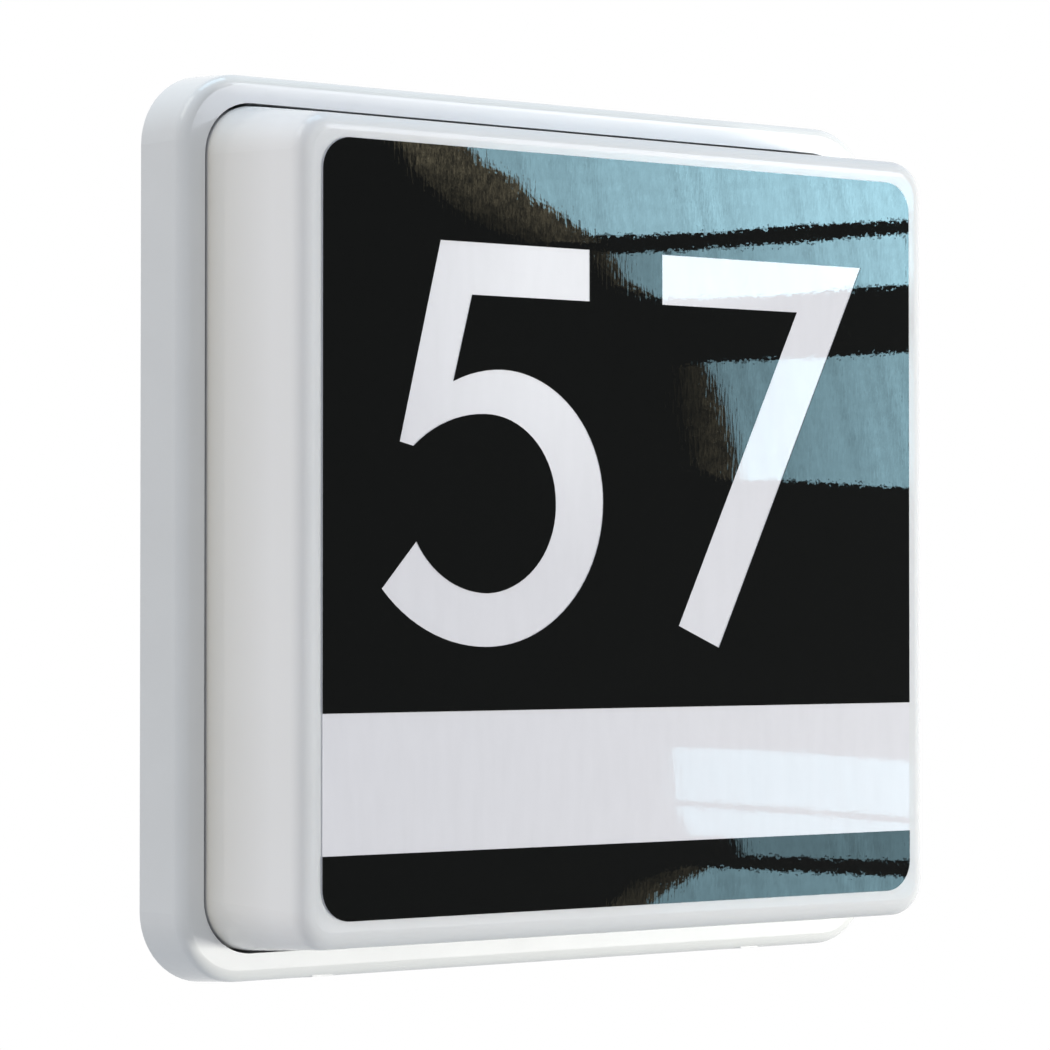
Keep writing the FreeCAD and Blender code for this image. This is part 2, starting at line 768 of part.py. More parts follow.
def make_terminal_clamps():
    """Brass tubes that hold the wire ends."""
    tubes = []
    top = terminal_wire_out + 2 * clamp_tube_r
    for k in range(pole_count):
        cuts = [clamp_tube(k, wire_hole_r, clamp_tube_length)]
        for x, z in terminal_screw_reach(k):
            cuts.append(rod(terminal_screw_r + touch_gap, terminal_wire_out, top, x, z))
        tubes.append(clamp_tube(k, clamp_tube_r, clamp_tube_length).cut(cuts))
    return Part.makeCompound(tubes)


def make_terminal_screws():
    """Slotted screws that press on the wires in the brass tubes."""
    screws = []
    start = terminal_wire_out + wire_d / 2 + touch_gap
    end = pad_out + terminal_height - terminal_screw_depth
    for k in range(pole_count):
        for x, z in terminal_screw_reach(k):
            body = rod(terminal_screw_r, start, end, x, z)
            slot = block(terminal_screw_r * 2, terminal_slot, end - terminal_slot, end, x, z)
            screws.append(body.cut(slot))
    return Part.makeCompound(screws)


def make_cable_clamp():
    """Saddle that grips the supply cable between its entry and the terminal block."""
    length = cable_clamp_span + 2 * pad_r
    top = cable_clamp_out + cable_clamp_thick
    width, corner_r, x = cable_clamp_width, cable_clamp_corner_r, cable_clamp_x
    body = plate(width, length, corner_r, cable_clamp_out, top, x, entry_z)
    groove_r = entry_bore_r + cable_clamp_groove
    groove_out = cable_clamp_out + cable_clamp_groove - groove_r
    cuts = [Part.makeCylinder(groove_r, width, place(x - width / 2, groove_out, entry_z), RIGHT)]
    for x, z in cable_clamp_places():
        cuts.append(rod(tapping_screw_r + touch_gap, cable_clamp_out, top, x, z))
    return body.cut(cuts)


# ---------------------------------------------------------------- wires
def supply_route(k, sign):
    """Route from pole k of the terminal block to the upper or lower hole in the driver's left end."""
    low, high = pole_z(k), driver_wire_z(sign)
    out, driver_hole_out = terminal_wire_out, driver_wire_out()
    middle_out = (out + driver_hole_out) / 2
    start_x = terminal_x - clamp_tube_length / 4
    end_x = driver_x - driver_length / 2
    lane = (pole_count - k) * wire_lane
    halfway = (low + high) / 2
    return [
        place(start_x, out, low),
        place(start_x - supply_leave_x, out, low),
        place(start_x - supply_turn_x - lane, middle_out, low + supply_turn_z),
        place(end_x - supply_side_x - lane, middle_out, halfway - supply_side_z),
        place(end_x - supply_rise_x - lane, middle_out, high - supply_rise_z),
        place(end_x - supply_bend_x - lane, driver_hole_out, high - supply_bend_z),
        place(end_x - supply_enter_x, driver_hole_out, high),
        place(end_x + driver_wall, driver_hole_out, high),
    ]


def earth_place():
    """Where the earth lug is screwed to the gear tray."""
    return (-post_place, pole_z(0))


def earth_wire_out():
    """Distance out of the earth wire's end, which lies against the lug."""
    return tray_out - tray_sheet - lug_thick - wire_d / 2


def earth_route():
    """Route from the lowest pole to the barrel of the earth lug."""
    x, z = earth_place()
    start_x = terminal_x - clamp_tube_length / 4
    out = terminal_wire_out
    barrel_end = x + 2 * lug_r + lug_barrel
    return [
        place(start_x, out, z),
        place(start_x - supply_leave_x, out, z),
        place(start_x - earth_dip_x, out + earth_dip_out, z - earth_dip_z),
        place(barrel_end + earth_sag_x, earth_wire_out() - earth_sag_out, z - earth_sag_z),
        place(barrel_end + earth_enter_x, earth_wire_out(), z),
        place(x + 2 * lug_r, earth_wire_out(), z),
    ]


def make_earth_lug():
    """Ring lug under the gear tray, with a barrel crimped to the earth wire."""
    x, z = earth_place()
    top = tray_out - tray_sheet
    back = top - lug_thick
    reach = 2 * lug_r + lug_barrel
    ring = rod(lug_r, back, top, x, z)
    tongue = block(reach, wire_d, back, top, x + reach / 2, z)
    start = place(x + 2 * lug_r, earth_wire_out(), z)
    barrel = Part.makeCylinder(wire_d / 2 + lug_thick, lug_barrel, start, RIGHT)
    barrel = barrel.cut(Part.makeCylinder(wire_d / 2, lug_barrel, start, RIGHT))
    body = ring.fuse([tongue, barrel]).removeSplitter()
    return body.cut(rod(tapping_screw_r + touch_gap, back, top, x, z))


def lead_route(sign):
    """Route of one lamp lead from the driver, through the bushing, to the last board's connector."""
    end_x = driver_x + driver_length / 2
    start_z, end_z = driver_wire_z(sign), connector_hole_z(sign)
    side = sign * lead_d * lead_pair_share
    hole_out, end_out = driver_wire_out(), connector_out()
    front = tray_out + bushing_lip + lead_front
    last_x = board_places()[-1] + connector_width / 4
    return [
        place(end_x - driver_wall, hole_out, start_z),
        place(end_x + lead_leave_x, hole_out, start_z),
        place(end_x + lead_turn_x, hole_out, start_z - lead_turn_z - sign * lead_spread),
        place(bushing_x - lead_gather_x, hole_out, bushing_z + lead_gather_z + side),
        place(bushing_x, hole_out + lead_behind, bushing_z + side),
        place(bushing_x, front, bushing_z + side),
        place(bushing_x + sign, front + lead_climb_out, bushing_z + lead_climb_z),
        place(bushing_x + sign * lead_rise_x, end_out + lead_rise_out, bushing_z + lead_rise_z),
        place(bushing_x + sign, end_out + lead_near_out, end_z - lead_near_z),
        place(last_x + lead_enter_x, end_out, end_z),
        place(last_x, end_out, end_z),
    ]


def wires():
    """Route and diameter of every single wire by name."""
    return {
        "live_wire": (supply_route(2, -1), wire_d),
        "neutral_wire": (supply_route(1, 1), wire_d),
        "earth_wire": (earth_route(), wire_d),
        "led_lead_positive": (lead_route(1), lead_d),
        "led_lead_negative": (lead_route(-1), lead_d),
    }


# ---------------------------------------------------------------- lock screws
def make_lock_inserts():
    """Threaded brass inserts pressed into the housing from inside."""
    inserts = []
    for x in lock_places():
        body = upright_rod(lock_insert_r, lock_insert_z, lock_wall_z, x)
        inserts.append(body.cut(upright_rod(lock_screw_r + touch_gap, lock_insert_z, lock_wall_z, x)))
    return Part.makeCompound(inserts)


def make_lock_washer(x):
    """Soft washer between a lock screw's head and the floor of its well."""
    outer = upright_rod(lock_head_r, lock_well_z - lock_washer_thick, lock_well_z, x)
    return outer.cut(upright_rod(lock_screw_r + lock_washer_clearance, -housing_side, lock_well_z, x))


def make_lock_screw(x):
    """Socket-head screw that bears on the skirt from below."""
    seat = lock_well_z - lock_washer_thick
    head = upright_rod(lock_head_r, seat - lock_head, seat, x)
    shank = upright_rod(lock_screw_r, seat, lock_tip_z, x)
    body = head.fuse(shank).removeSplitter()
    middle = place(x, lock_out, seat - lock_head)
    reach = lock_head_r * lock_socket_share
    turns = [math.radians(60 * k) for k in range(7)]
    corners = [middle + Vector(math.cos(turn), math.sin(turn), 0) * reach for turn in turns]
    socket = Part.Face(Part.makePolygon(corners))
    return body.cut(socket.extrude(UP * (lock_head * lock_socket_depth_share)))


# ---------------------------------------------------------------- diffuser and films
def diffuser_form(inset, out_top):
    """The diffuser's outer form from its skirt's foot, or the same form set in by a wall."""
    side = diffuser_side - 2 * inset
    front_side = side - 2 * diffuser_taper
    corner_r = diffuser_corner_r - inset
    start = skirt_foot_out
    skirt = plate(side, side, corner_r, start, housing_rise)
    front_r = corner_r - diffuser_taper
    dome = tapered(side, front_side, corner_r, front_r, housing_rise, out_top, -face_drop)
    dome = round_front_edges(dome, out_top, diffuser_edge_r - inset)
    return skirt.fuse(dome)


def make_diffuser():
    """Opal cup with a straight skirt, gently leaning sides and a flat face a little below the skirt's middle."""
    inner = diffuser_form(diffuser_wall, overall_depth - diffuser_wall)
    return diffuser_form(0.0, overall_depth).cut(inner).removeSplitter()


def film_sheet(out_from, out_to):
    """Full sheet of film with its rounded corners."""
    return plate(film_side, film_side, film_corner_r, out_from, out_to, z=film_z)


def strip(sheet, top, height):
    """The part of a sheet of film between a distance below its top edge and a height further down."""
    centre_z = film_top - top - height / 2
    return sheet.common(block(2 * film_side, height, 0.0, 2 * overall_depth, 0.0, centre_z))


def arc_at_crown(crown, end):
    """Middle point of the arc that is level at its crown and runs to its end."""
    dx, dz = end[0] - crown[0], end[1] - crown[1]
    radius = (dx * dx + dz * dz) / (2 * abs(dz))
    half = math.atan2(abs(dx), radius - abs(dz)) / 2
    along, across = radius * math.sin(half), radius * (1 - math.cos(half))
    return (crown[0] + math.copysign(along, dx), crown[1] + math.copysign(across, dz))


def quarter(level, upright):
    """Middle point of the quarter oval from a point where the stroke is level to one where it is upright."""
    share = math.sqrt(0.5)
    centre_x, centre_z = level[0], upright[1]
    return (centre_x + share * (upright[0] - centre_x), centre_z + share * (level[1] - centre_z))


def numeral_face(steps, left, out):
    """Face of a numeral from steps of (point,) for a line or (middle, point) for an arc.

    Points are in hundredths of the numeral's height, right of its left edge and below its top.
    """
    top = film_top - numerals_top_margin
    scale = numeral_height / 100.0

    def spot(point):
        return place(left + point[0] * scale, out, top - point[1] * scale)

    edges = []
    here = spot(steps[-1][-1])
    for step in steps:
        there = spot(step[-1])
        if len(step) == 1:
            edges.append(Part.LineSegment(here, there).toShape())
        else:
            edges.append(Part.Arc(here, spot(step[0]), there).toShape())
        here = there
    return Part.Face(Part.Wire(edges))


def five_steps():
    """Outline of the numeral 5: a flag, a leaning stem and an open bowl."""
    notch, crown, right = (21.4, 34.5), (36.4, 31.2), (five_width, 63.7)
    bottom, tail = (31.6, 99.8), (0.0, 85.5)
    tail_in, bottom_in, right_in, crown_in = (10.3, 73.9), (31.9, 86.6), (52.9, 63.7), (31.2, 42.3)
    stem_in, stem_out = (9.4, 50.7), (5.3, 49.7)
    return [
        ((17.5, 0.0),),
        ((63.7, 0.0),),
        ((63.7, 13.0),),
        ((27.1, 13.0),),
        (notch,),
        (arc_at_crown(crown, notch), crown),
        (quarter(crown, right), right),
        (quarter(bottom, right), bottom),
        (arc_at_crown(bottom, tail), tail),
        (tail_in,),
        (arc_at_crown(bottom_in, tail_in), bottom_in),
        (quarter(bottom_in, right_in), right_in),
        (quarter(crown_in, right_in), crown_in),
        (arc_at_crown(crown_in, stem_in), stem_in),
        (stem_out,),
    ]


def seven_steps():
    """Outline of the numeral 7: a bar and a leaning stem cut square across its foot."""
    bar, lean, stem, foot, foot_slant = 12.8, 0.486, 16.1, 100.5, 5.7
    foot_left = foot - foot_slant
    return [
        ((0.0, 0.0),),
        ((seven_width, 0.0),),
        ((seven_width - lean * foot, foot),),
        ((seven_width - stem - lean * foot_left, foot_left),),
        ((seven_width - stem - lean * bar, bar),),
        ((0.0, bar),),
    ]


def numeral_cutters(out_from, out_to):
    """Cutters for both numerals, centred on the film."""
    scale = numeral_height / 100.0
    widths = [five_width * scale, seven_width * scale]
    left = -(sum(widths) + numerals_spacing) / 2
    cutters = []
    for steps, width in ((five_steps(), widths[0]), (seven_steps(), widths[1])):
        cutters.append(numeral_face(steps, left, out_from).extrude(FORWARD * (out_to - out_from)))
        left += width + numerals_spacing
    return cutters


def make_films():
    """The white backing film and the two black films on it, by name."""
    backing_out = overall_depth + backing_film_thick
    black_out = backing_out + black_film_thick
    black = film_sheet(backing_out, black_out)
    field = strip(black, 0.0, field_height)
    return {
        "backing_film": film_sheet(overall_depth, backing_out),
        "number_film": field.cut(numeral_cutters(backing_out, black_out)),
        "footer_film": strip(black, film_side - footer_height, footer_height),
    }


# ---------------------------------------------------------------- the whole sign
def screws_at(places, seat_out, kind="tapping"):
    """A group of like screws with their heads seated at seat_out."""
    sizes = {
        "tapping": (tapping_screw_r, tapping_screw_head_r, tapping_screw_head, tapping_screw_length),
        "board": (board_screw_r, board_screw_head_r, board_screw_head, board_screw_length),
    }[kind]
    return Part.makeCompound([screw(*sizes, seat_out, x, z) for x, z in places])


def all_parts():
    """Every sub-part by name."""
    parts = {
        "base_housing": make_base_housing(),
        "wall_seal": make_wall_seal(),
        "skirt_gasket": make_skirt_gasket(),
        "cable_grommet": make_cable_grommet(),
        "gear_tray": make_gear_tray(),
        "wire_bushing": make_wire_bushing(),
        "led_chips": make_chips(),
        "board_connectors": make_connectors(),
        "board_screws": screws_at(board_screw_places(), board_out, "board"),
        "jumper_leads": make_jumpers(),
        "tray_screws": screws_at(tray_posts(), tray_out),
        "driver_case": make_driver_case(),
        "driver_lid": make_driver_lid(),
        "driver_board": make_driver_board(),
        "driver_transformer": make_transformer(),
        "driver_capacitors": make_capacitors(),
        "driver_screws": screws_at(driver_screw_places(), pad_out + driver_ear_thick),
        "terminal_block": make_terminal_block(),
        "terminal_clamps": make_terminal_clamps(),
        "terminal_screws": make_terminal_screws(),
        "terminal_fixing_screws": screws_at(terminal_screw_places(), pad_out + terminal_ear_thick),
        "cable_clamp": make_cable_clamp(),
        "cable_clamp_screws": screws_at(cable_clamp_places(), cable_clamp_out + cable_clamp_thick),
        "earth_lug": make_earth_lug(),
        "earth_screw": screws_at([earth_place()], tray_out),
        "lock_inserts": make_lock_inserts(),
        "diffuser": make_diffuser(),
    }
    for name, (route, diameter) in wires().items():
        parts[name] = wire(route, diameter)
    for k, x in enumerate(board_places(), 1):
        parts["led_board_%d" % k] = make_board(x)
    for side, x in zip(("left", "right"), lock_places()):
        parts["lock_washer_" + side] = make_lock_washer(x)
        parts["lock_screw_" + side] = make_lock_screw(x)
    parts.update(make_films())
    return parts


def main():
    """Builds every sub-part and writes it."""
    os.makedirs(PARTS, exist_ok=True)
    for name, shape in all_parts().items():
        save(name, shape)
    for name, (route, _) in wires().items():
        radii = [round(bend[3], 1) for bend in bends(route)]
        print(name, "bends with radii in mm", radii)


main()
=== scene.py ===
"""Finishes and stage for a wall-mounted illuminated house number sign, laid out as a Blender add-on.

The model comes in as a fixed frame, in metres. Its origin is the centre of the housing's back face, +X is
right and +Z is up as one faces the sign, and the sign stands out from the wall along -Y.
"""

import math

import bpy
from bpy.props import FloatProperty, FloatVectorProperty, PointerProperty
from mathutils import Matrix, Vector


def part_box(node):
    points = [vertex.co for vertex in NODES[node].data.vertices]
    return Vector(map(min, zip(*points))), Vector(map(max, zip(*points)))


bl_info = {
    "name": "House Number Sign",
    "version": (1, 0, 0),
    "blender": (4, 5, 0),
    "location": "3D Viewport > Sidebar > House Sign",
    "description": "Finishes a wall-mounted illuminated house number sign and sets up its stage",
    "category": "Object",
}

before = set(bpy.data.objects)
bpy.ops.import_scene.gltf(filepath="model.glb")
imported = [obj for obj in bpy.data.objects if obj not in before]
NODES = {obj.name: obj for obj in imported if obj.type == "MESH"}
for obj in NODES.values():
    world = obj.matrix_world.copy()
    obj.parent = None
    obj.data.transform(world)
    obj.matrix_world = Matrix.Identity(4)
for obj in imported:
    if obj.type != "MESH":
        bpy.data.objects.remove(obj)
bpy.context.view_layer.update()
MM = 0.001
BLACK = (0.0, 0.0, 0.0)
WHITE = (1.0, 1.0, 1.0)


# ---------------------------------------------------------------- materials
class Signal:
    """One output of a material's node. Sums, products and comparisons of signals add the nodes for them."""

    def __init__(self, finish, socket):
        self.finish = finish
        self.socket = socket

    def calculate(self, operation, *values, clamp=False):
        """A Math node on these values, numbers or signals."""
        settings = {"operation": operation, "use_clamp": clamp}
        return self.finish.node("ShaderNodeMath", settings, dict(enumerate(values)))

    def __add__(self, other):
        return self.calculate("ADD", self, other)

    def __sub__(self, other):
        return self.calculate("SUBTRACT", self, other)

    def __rsub__(self, other):
        return self.calculate("SUBTRACT", other, self)

    def __mul__(self, other):
        return self.calculate("MULTIPLY", self, other)

    def __pow__(self, power):
        return self.calculate("POWER", self, power)

    def __lt__(self, other):
        return self.calculate("LESS_THAN", self, other)

    def __abs__(self):
        return self.calculate("ABSOLUTE", self)

    __radd__ = __add__
    __rmul__ = __mul__

    def clamped(self):
        """The signal held between 0 and 1."""
        return self.calculate("ADD", self, 0.0, clamp=True)

    def either(self, other):
        """The larger of two signals, so 1 where one of two masks is 1."""
        return self.calculate("MAXIMUM", self, other)

    def root(self):
        """The square root."""
        return self.calculate("SQRT", self)

    def repeat(self, length):
        """How far the signal is from the nearest multiple of a length."""
        return abs(self.calculate("WRAP", self, length / 2, -length / 2))

    def rise(self, low, high):
        """0 at one value and 1 at another, with an even slope between them and held beyond them."""
        return self.calculate("MULTIPLY", self - low, 1 / (high - low), clamp=True)


def opaque(colour):
    """A colour as a node's socket takes it, with full alpha. A signal stays as it is."""
    return colour if isinstance(colour, Signal) else (*colour[:3], 1.0)


class Finish:
    """A material, or a world if its nodes are given, built by adding one node at a time."""

    def __init__(self, name, tree=None):
        self.material = None
        if tree is None:
            self.material = bpy.data.materials.new(name)
            self.material.use_nodes = True
            tree = self.material.node_tree
        self.tree = tree
        self.tree.nodes.clear()
        self.position = None

    def node(self, kind, settings=None, inputs=None, output=0):
        """Adds a node with its settings first, then its sockets' values or links, and gives one output."""
        made = self.tree.nodes.new(kind)
        for name, value in (settings or {}).items():
            setattr(made, name, value)
        for name, value in (inputs or {}).items():
            if isinstance(value, Signal):
                self.tree.links.new(value.socket, made.inputs[name])
            else:
                made.inputs[name].default_value = value
        return Signal(self, made.outputs[output]) if len(made.outputs) else None

    def where(self):
        """The point on the piece, in metres, which moves with the piece."""
        if self.position is None:
            self.position = self.node("ShaderNodeTexCoord", output="Object")
        return self.position

    def along(self, axis):
        """One coordinate of the point on the piece: 0 for X, 1 for Y, 2 for Z."""
        return self.node("ShaderNodeSeparateXYZ", inputs={0: self.where()}, output=axis)

    def facing(self, axis):
        """How far the surface faces along an axis of the piece, from -1 to 1."""
        outward = self.node("ShaderNodeTexCoord", output="Normal")
        return self.node("ShaderNodeSeparateXYZ", inputs={0: outward}, output=axis)

    def dot(self, direction):
        """How far the point on the piece lies along a direction."""
        inputs = {0: self.where(), 1: direction}
        return self.node("ShaderNodeVectorMath", {"operation": "DOT_PRODUCT"}, inputs, output="Value")

    def distance(self, place):
        """How far the point on the piece is from a place."""
        inputs = {0: self.where(), 1: place}
        return self.node("ShaderNodeVectorMath", {"operation": "DISTANCE"}, inputs, output="Value")

    def ray(self, kind):
        """1 for a ray of one kind, such as Camera or Glossy, and 0 for the others."""
        return self.node("ShaderNodeLightPath", output="Is %s Ray" % kind)

    def grain(self, size, detail=2.0, roughness=0.5, stretch=(1, 1, 1)):
        """Soft noise from 0 to 1 whose spots are about a size in metres, longer along a stretched axis."""
        per_metre = [1 / (size * s) for s in stretch]
        spot = self.node("ShaderNodeVectorMath", {"operation": "MULTIPLY"}, {0: self.where(), 1: per_metre})
        inputs = {"Vector": spot, "Scale": 1.0, "Detail": detail, "Roughness": roughness}
        return self.node("ShaderNodeTexNoise", {"noise_dimensions": "3D"}, inputs)

    def blend(self, share, first, second):
        """A colour between two others."""
        inputs = {0: share, 6: opaque(first), 7: opaque(second)}
        return self.node("ShaderNodeMix", {"data_type": "RGBA"}, inputs, output=2)

    def relief(self, height, depth):
        """The surface's normal over a height from 0 to 1 that stands for a depth in metres."""
        return self.node("ShaderNodeBump", inputs={"Height": height, "Distance": depth, "Strength": 1.0})

    def ended(self, shader):
        """The material, with this shader on its surface."""
        self.node("ShaderNodeOutputMaterial", inputs={"Surface": shader})
        return self.material

    def surface(self, **sockets):
        """Ends the material in one main shader with these sockets, written with _ for each space."""
        inputs = {}
        for name, value in sockets.items():
            inputs[name.replace("_", " ")] = opaque(value) if name.endswith("Color") else value
        return self.ended(self.node("ShaderNodeBsdfPrincipled", inputs=inputs))

    def lit(self, colour, strength):
        """Ends a stage material in plain light."""
        inputs = {"Color": opaque(colour), "Strength": strength}
        return self.ended(self.node("ShaderNodeEmission", inputs=inputs))


def put_on(material, *nodes):
    """Gives a material to every slot of these pieces of the model."""
    for name in nodes:
        mesh = NODES[name].data
        if not mesh.materials:
            mesh.materials.append(material)
        for k in range(len(mesh.materials)):
            mesh.materials[k] = material


def shade(colour, share):
    """A colour made darker or paler by a share."""
    return [c * share for c in colour[:3]]


def moulded(name, colour, roughness, peel, peel_size=0.9 * MM, coat=0.0, specked=0.06):
    """Moulded plastic: faint clouds and specks, an even gloss with rubbed spots, and a soft peel."""
    f = Finish(name)
    clouds = f.grain(22 * MM, detail=3.0)
    specks = f.grain(0.5 * MM, detail=1.0)
    rubbed = f.grain(6 * MM, detail=4.0, roughness=0.65, stretch=(1, 1, 2.5))
    tone = f.blend(clouds.rise(0.35, 0.7), shade(colour, 0.975), colour)
    tone = f.blend(specks.rise(0.72, 0.8) * specked, tone, shade(colour, 0.8))
    gloss = rubbed.rise(0.35, 0.75) * 0.05 + roughness
    skin = f.grain(peel_size, detail=2.0)
    return f.surface(
        Base_Color=tone,
        Roughness=gloss,
        Normal=f.relief(skin, peel),
        Coat_Weight=coat,
        Coat_Roughness=0.05,
        IOR=1.5,
    )


def soft_rubber(name, colour, cells):
    """Rubber or closed-cell foam with cells of a size in metres: matt, mottled and finely pitted."""
    f = Finish(name)
    pits = f.grain(cells, detail=3.0, roughness=0.6)
    bloom = f.grain(9 * MM, detail=3.0)
    tone = f.blend(bloom.rise(0.4, 0.75) * 0.5, colour, shade(colour, 1.9))
    tone = f.blend(pits.rise(0.3, 0.5), shade(colour, 0.48), tone)
    skin = f.relief(pits, cells * 0.12)
    return f.surface(Base_Color=tone, Roughness=pits * 0.15 + 0.68, Normal=skin, IOR=1.5)


def plated(name, colour, roughness):
    """Metal with fine tool marks, a dulled film in patches and small bright scuffs."""
    f = Finish(name)
    marks = f.grain(0.25 * MM, detail=3.0, roughness=0.6)
    patches = f.grain(4 * MM, detail=3.0)
    scuffs = f.grain(0.9 * MM, detail=4.0, roughness=0.7)
    tone = f.blend(patches.rise(0.35, 0.7) * 0.35, colour, shade(colour, 0.78))
    tone = f.blend(scuffs.rise(0.66, 0.74) * 0.4, tone, shade(colour, 1.15))
    return f.surface(
        Base_Color=tone,
        Metallic=1.0,
        Roughness=marks * 0.12 + patches * 0.08 + roughness,
        Normal=f.relief(marks, 0.004 * MM),
    )


def insulation(name, colour, second=None):
    """Wire insulation: smooth, with faint handling marks, and two-coloured if it has a second colour."""
    f = Finish(name)
    rubbed = f.grain(1.6 * MM, detail=3.0)
    tone = f.blend(rubbed.rise(0.4, 0.75) * 0.4, colour, shade(colour, 0.82))
    if second is not None:
        tone = f.blend(abs(f.facing(2)).rise(0.52, 0.6), tone, second)
    skin = f.relief(rubbed, 0.01 * MM)
    return f.surface(Base_Color=tone, Roughness=rubbed * 0.1 + 0.36, Normal=skin, IOR=1.5)


# ---------------------------------------------------------------- sizes and colours a user may change
def colour_of(name, description, value):
    """A colour."""
    return FloatVectorProperty(
        name=name, description=description, default=value, size=3, min=0.0, soft_max=1.0, subtype="COLOR"
    )


def length_of(name, description, value):
    """A length in metres."""
    return FloatProperty(name=name, description=description, default=value, unit="LENGTH")


def angle_of(name, description, degrees):
    """An angle, whose default is given in degrees."""
    return FloatProperty(name=name, description=description, default=math.radians(degrees), subtype="ANGLE")


def share_of(name, description, value):
    """A number from 0 to 1."""
    return FloatProperty(name=name, description=description, default=value, min=0.0, max=1.0)


def power_of(name, description, value):
    """A lamp's power in watts, or the strength of the light from all round."""
    return FloatProperty(name=name, description=description, default=value, min=0.0)


class HousingLook(bpy.types.PropertyGroup):
    """Finish of the housing and its seals."""

    plastic: colour_of("Housing plastic", "Colour of the moulded housing", (0.86, 0.865, 0.87))
    gloss: share_of("Housing roughness", "Roughness of the housing's skin", 0.1)
    peel: length_of("Peel depth", "Depth of the moulded skin's peel", 0.004 * MM)
    foam: colour_of("Wall seal", "Colour of the foam seal", (0.09, 0.09, 0.095))
    rubber: colour_of("Rubber", "Colour of gasket, grommets and washers", (0.028, 0.028, 0.03))


class DiffuserLook(bpy.types.PropertyGroup):
    """Finish of the opal diffuser, and the painted glow that makes its left side paler."""

    opal: colour_of("Opal plastic", "Colour of the diffuser", (0.735, 0.745, 0.775))
    # Painted light: both colours below are emission that pales the diffuser's shaded left side, in place of
    # lamp light passing through the opal.
    painted_glow: colour_of("Scattered light", "Light that the left side passes on", (0.222, 0.208, 0.188))
    painted_foot_glow: colour_of("Scattered light at the foot", "The same, beside the housing", (0.09, 0.07, 0.025))
    depth: length_of("Glow depth", "How far light spreads in the opal plastic", 3.0 * MM)
    gloss: share_of("Opal roughness", "Roughness of the diffuser's skin", 0.05)


class FilmLook(bpy.types.PropertyGroup):
    """Finish of the films on the face, and the painted pool of light on the white film."""

    black: colour_of("Black film", "Colour of the field and the foot strip", (0.0085, 0.009, 0.009))
    white: colour_of("White film", "Colour of the numerals and the clear band", (0.785, 0.78, 0.84))
    # Painted light: the pool is emission on the white film, a soft bright patch in place of a highlight,
    # though nothing inside the sign is lit.
    pool: colour_of("Pool of light", "Light from inside, at its strongest", (0.165, 0.175, 0.17))
    ripple: length_of("Ripple depth", "Depth of the drawn film's upright ripple", 0.0035 * MM)
    gloss: share_of("Film roughness", "Roughness of the films", 0.005)


class GearLook(bpy.types.PropertyGroup):
    """Finish of the tray, the lamp boards, the driver, the terminals and the screws."""

    powder: colour_of("Powder coat", "Colour of the gear tray", (0.82, 0.82, 0.81))
    mask: colour_of("Board mask", "Colour of the lamp boards' solder mask", (0.84, 0.85, 0.82))
    phosphor: colour_of("Phosphor", "Colour of the light-emitting chips", (0.83, 0.62, 0.12))
    case: colour_of("Driver case", "Colour of the driver's case and lid", (0.76, 0.76, 0.74))
    block: colour_of("Terminal plastic", "Colour of the terminal block and the clamp", (0.58, 0.59, 0.58))
    steel: colour_of("Plated steel", "Colour of screws", (0.62, 0.62, 0.63))
    brass: colour_of("Brass", "Colour of clamps, lug and inserts", (0.72, 0.52, 0.22))


class StageSetup(bpy.types.PropertyGroup):
    """Camera, lamps, floor and the cards that the sign's gloss mirrors."""

    camera_place: FloatVectorProperty(
        name="Camera place",
        description="Where the camera stands",
        default=(-0.63226, -0.85351, -0.01912),
        size=3,
        subtype="XYZ_LENGTH",
    )
    camera_turn: angle_of("Camera turn", "How far the camera looks to the right of straight on", 36.774)
    camera_tilt: angle_of("Camera tilt", "How far the camera looks up", 1.137)
    camera_roll: angle_of("Camera roll", "How far the camera leans", 0.0)
    lens: FloatProperty(name="Lens", description="The camera's focal length", default=137.0, unit="CAMERA")
    fill: power_of("Fill", "Strength of the light from all round", 0.51)
    key: power_of("Key lamp", "Power of the lamp low at the right", 19.5)
    side: power_of("Side lamp", "Power of the lamp high at the left", 6.0)
    high: power_of("High lamp", "Power of the lamp above", 10.0)
    corner: power_of("Corner lamps", "Power of the small lamps beside the left corners", 0.06)
    daylight: colour_of("Daylight", "Colour of the panes that the face mirrors", (0.58, 1.0, 1.17))
    sky: colour_of("Sky", "Colour of the sky that the flange mirrors", (0.9, 0.93, 1.0))
    ground: colour_of("Ground", "Colour of the ground that the flange mirrors", (1.0, 0.98, 0.97))
    fold: length_of("Fold width", "Width of the folds in the mirrored daylight", 7 * MM)
    floor_drop: length_of("Floor drop", "How far the floor lies below the sign's middle", 0.34)


class SignLook(bpy.types.PropertyGroup):
    """Everything that a user may change."""

    housing: PointerProperty(type=HousingLook, name="Housing")
    diffuser: PointerProperty(type=DiffuserLook, name="Diffuser")
    films: PointerProperty(type=FilmLook, name="Films")
    gear: PointerProperty(type=GearLook, name="Gear")
    stage: PointerProperty(type=StageSetup, name="Stage")


# ---------------------------------------------------------------- one operator for each group of pieces
class HOUSESIGN_OT_housing(bpy.types.Operator):
    """Finish the moulded housing"""

    bl_idname = "housesign.housing"
    bl_label = "Housing"

    def execute(self, context):
        look = context.scene.house_sign.housing
        put_on(moulded("housing plastic", look.plastic, look.gloss, look.peel, coat=0.25), "base_housing")
        return {"FINISHED"}


class HOUSESIGN_OT_seals(bpy.types.Operator):
    """Finish the seals, grommets and washers"""

    bl_idname = "housesign.seals"
    bl_label = "Seals"

    def execute(self, context):
        look = context.scene.house_sign.housing
        put_on(soft_rubber("foam", look.foam, 0.5 * MM), "wall_seal")
        rubber = soft_rubber("rubber", look.rubber, 0.22 * MM)
        put_on(rubber, "skirt_gasket", "cable_grommet", "wire_bushing")
        put_on(rubber, "lock_washer_left", "lock_washer_right")
        return {"FINISHED"}


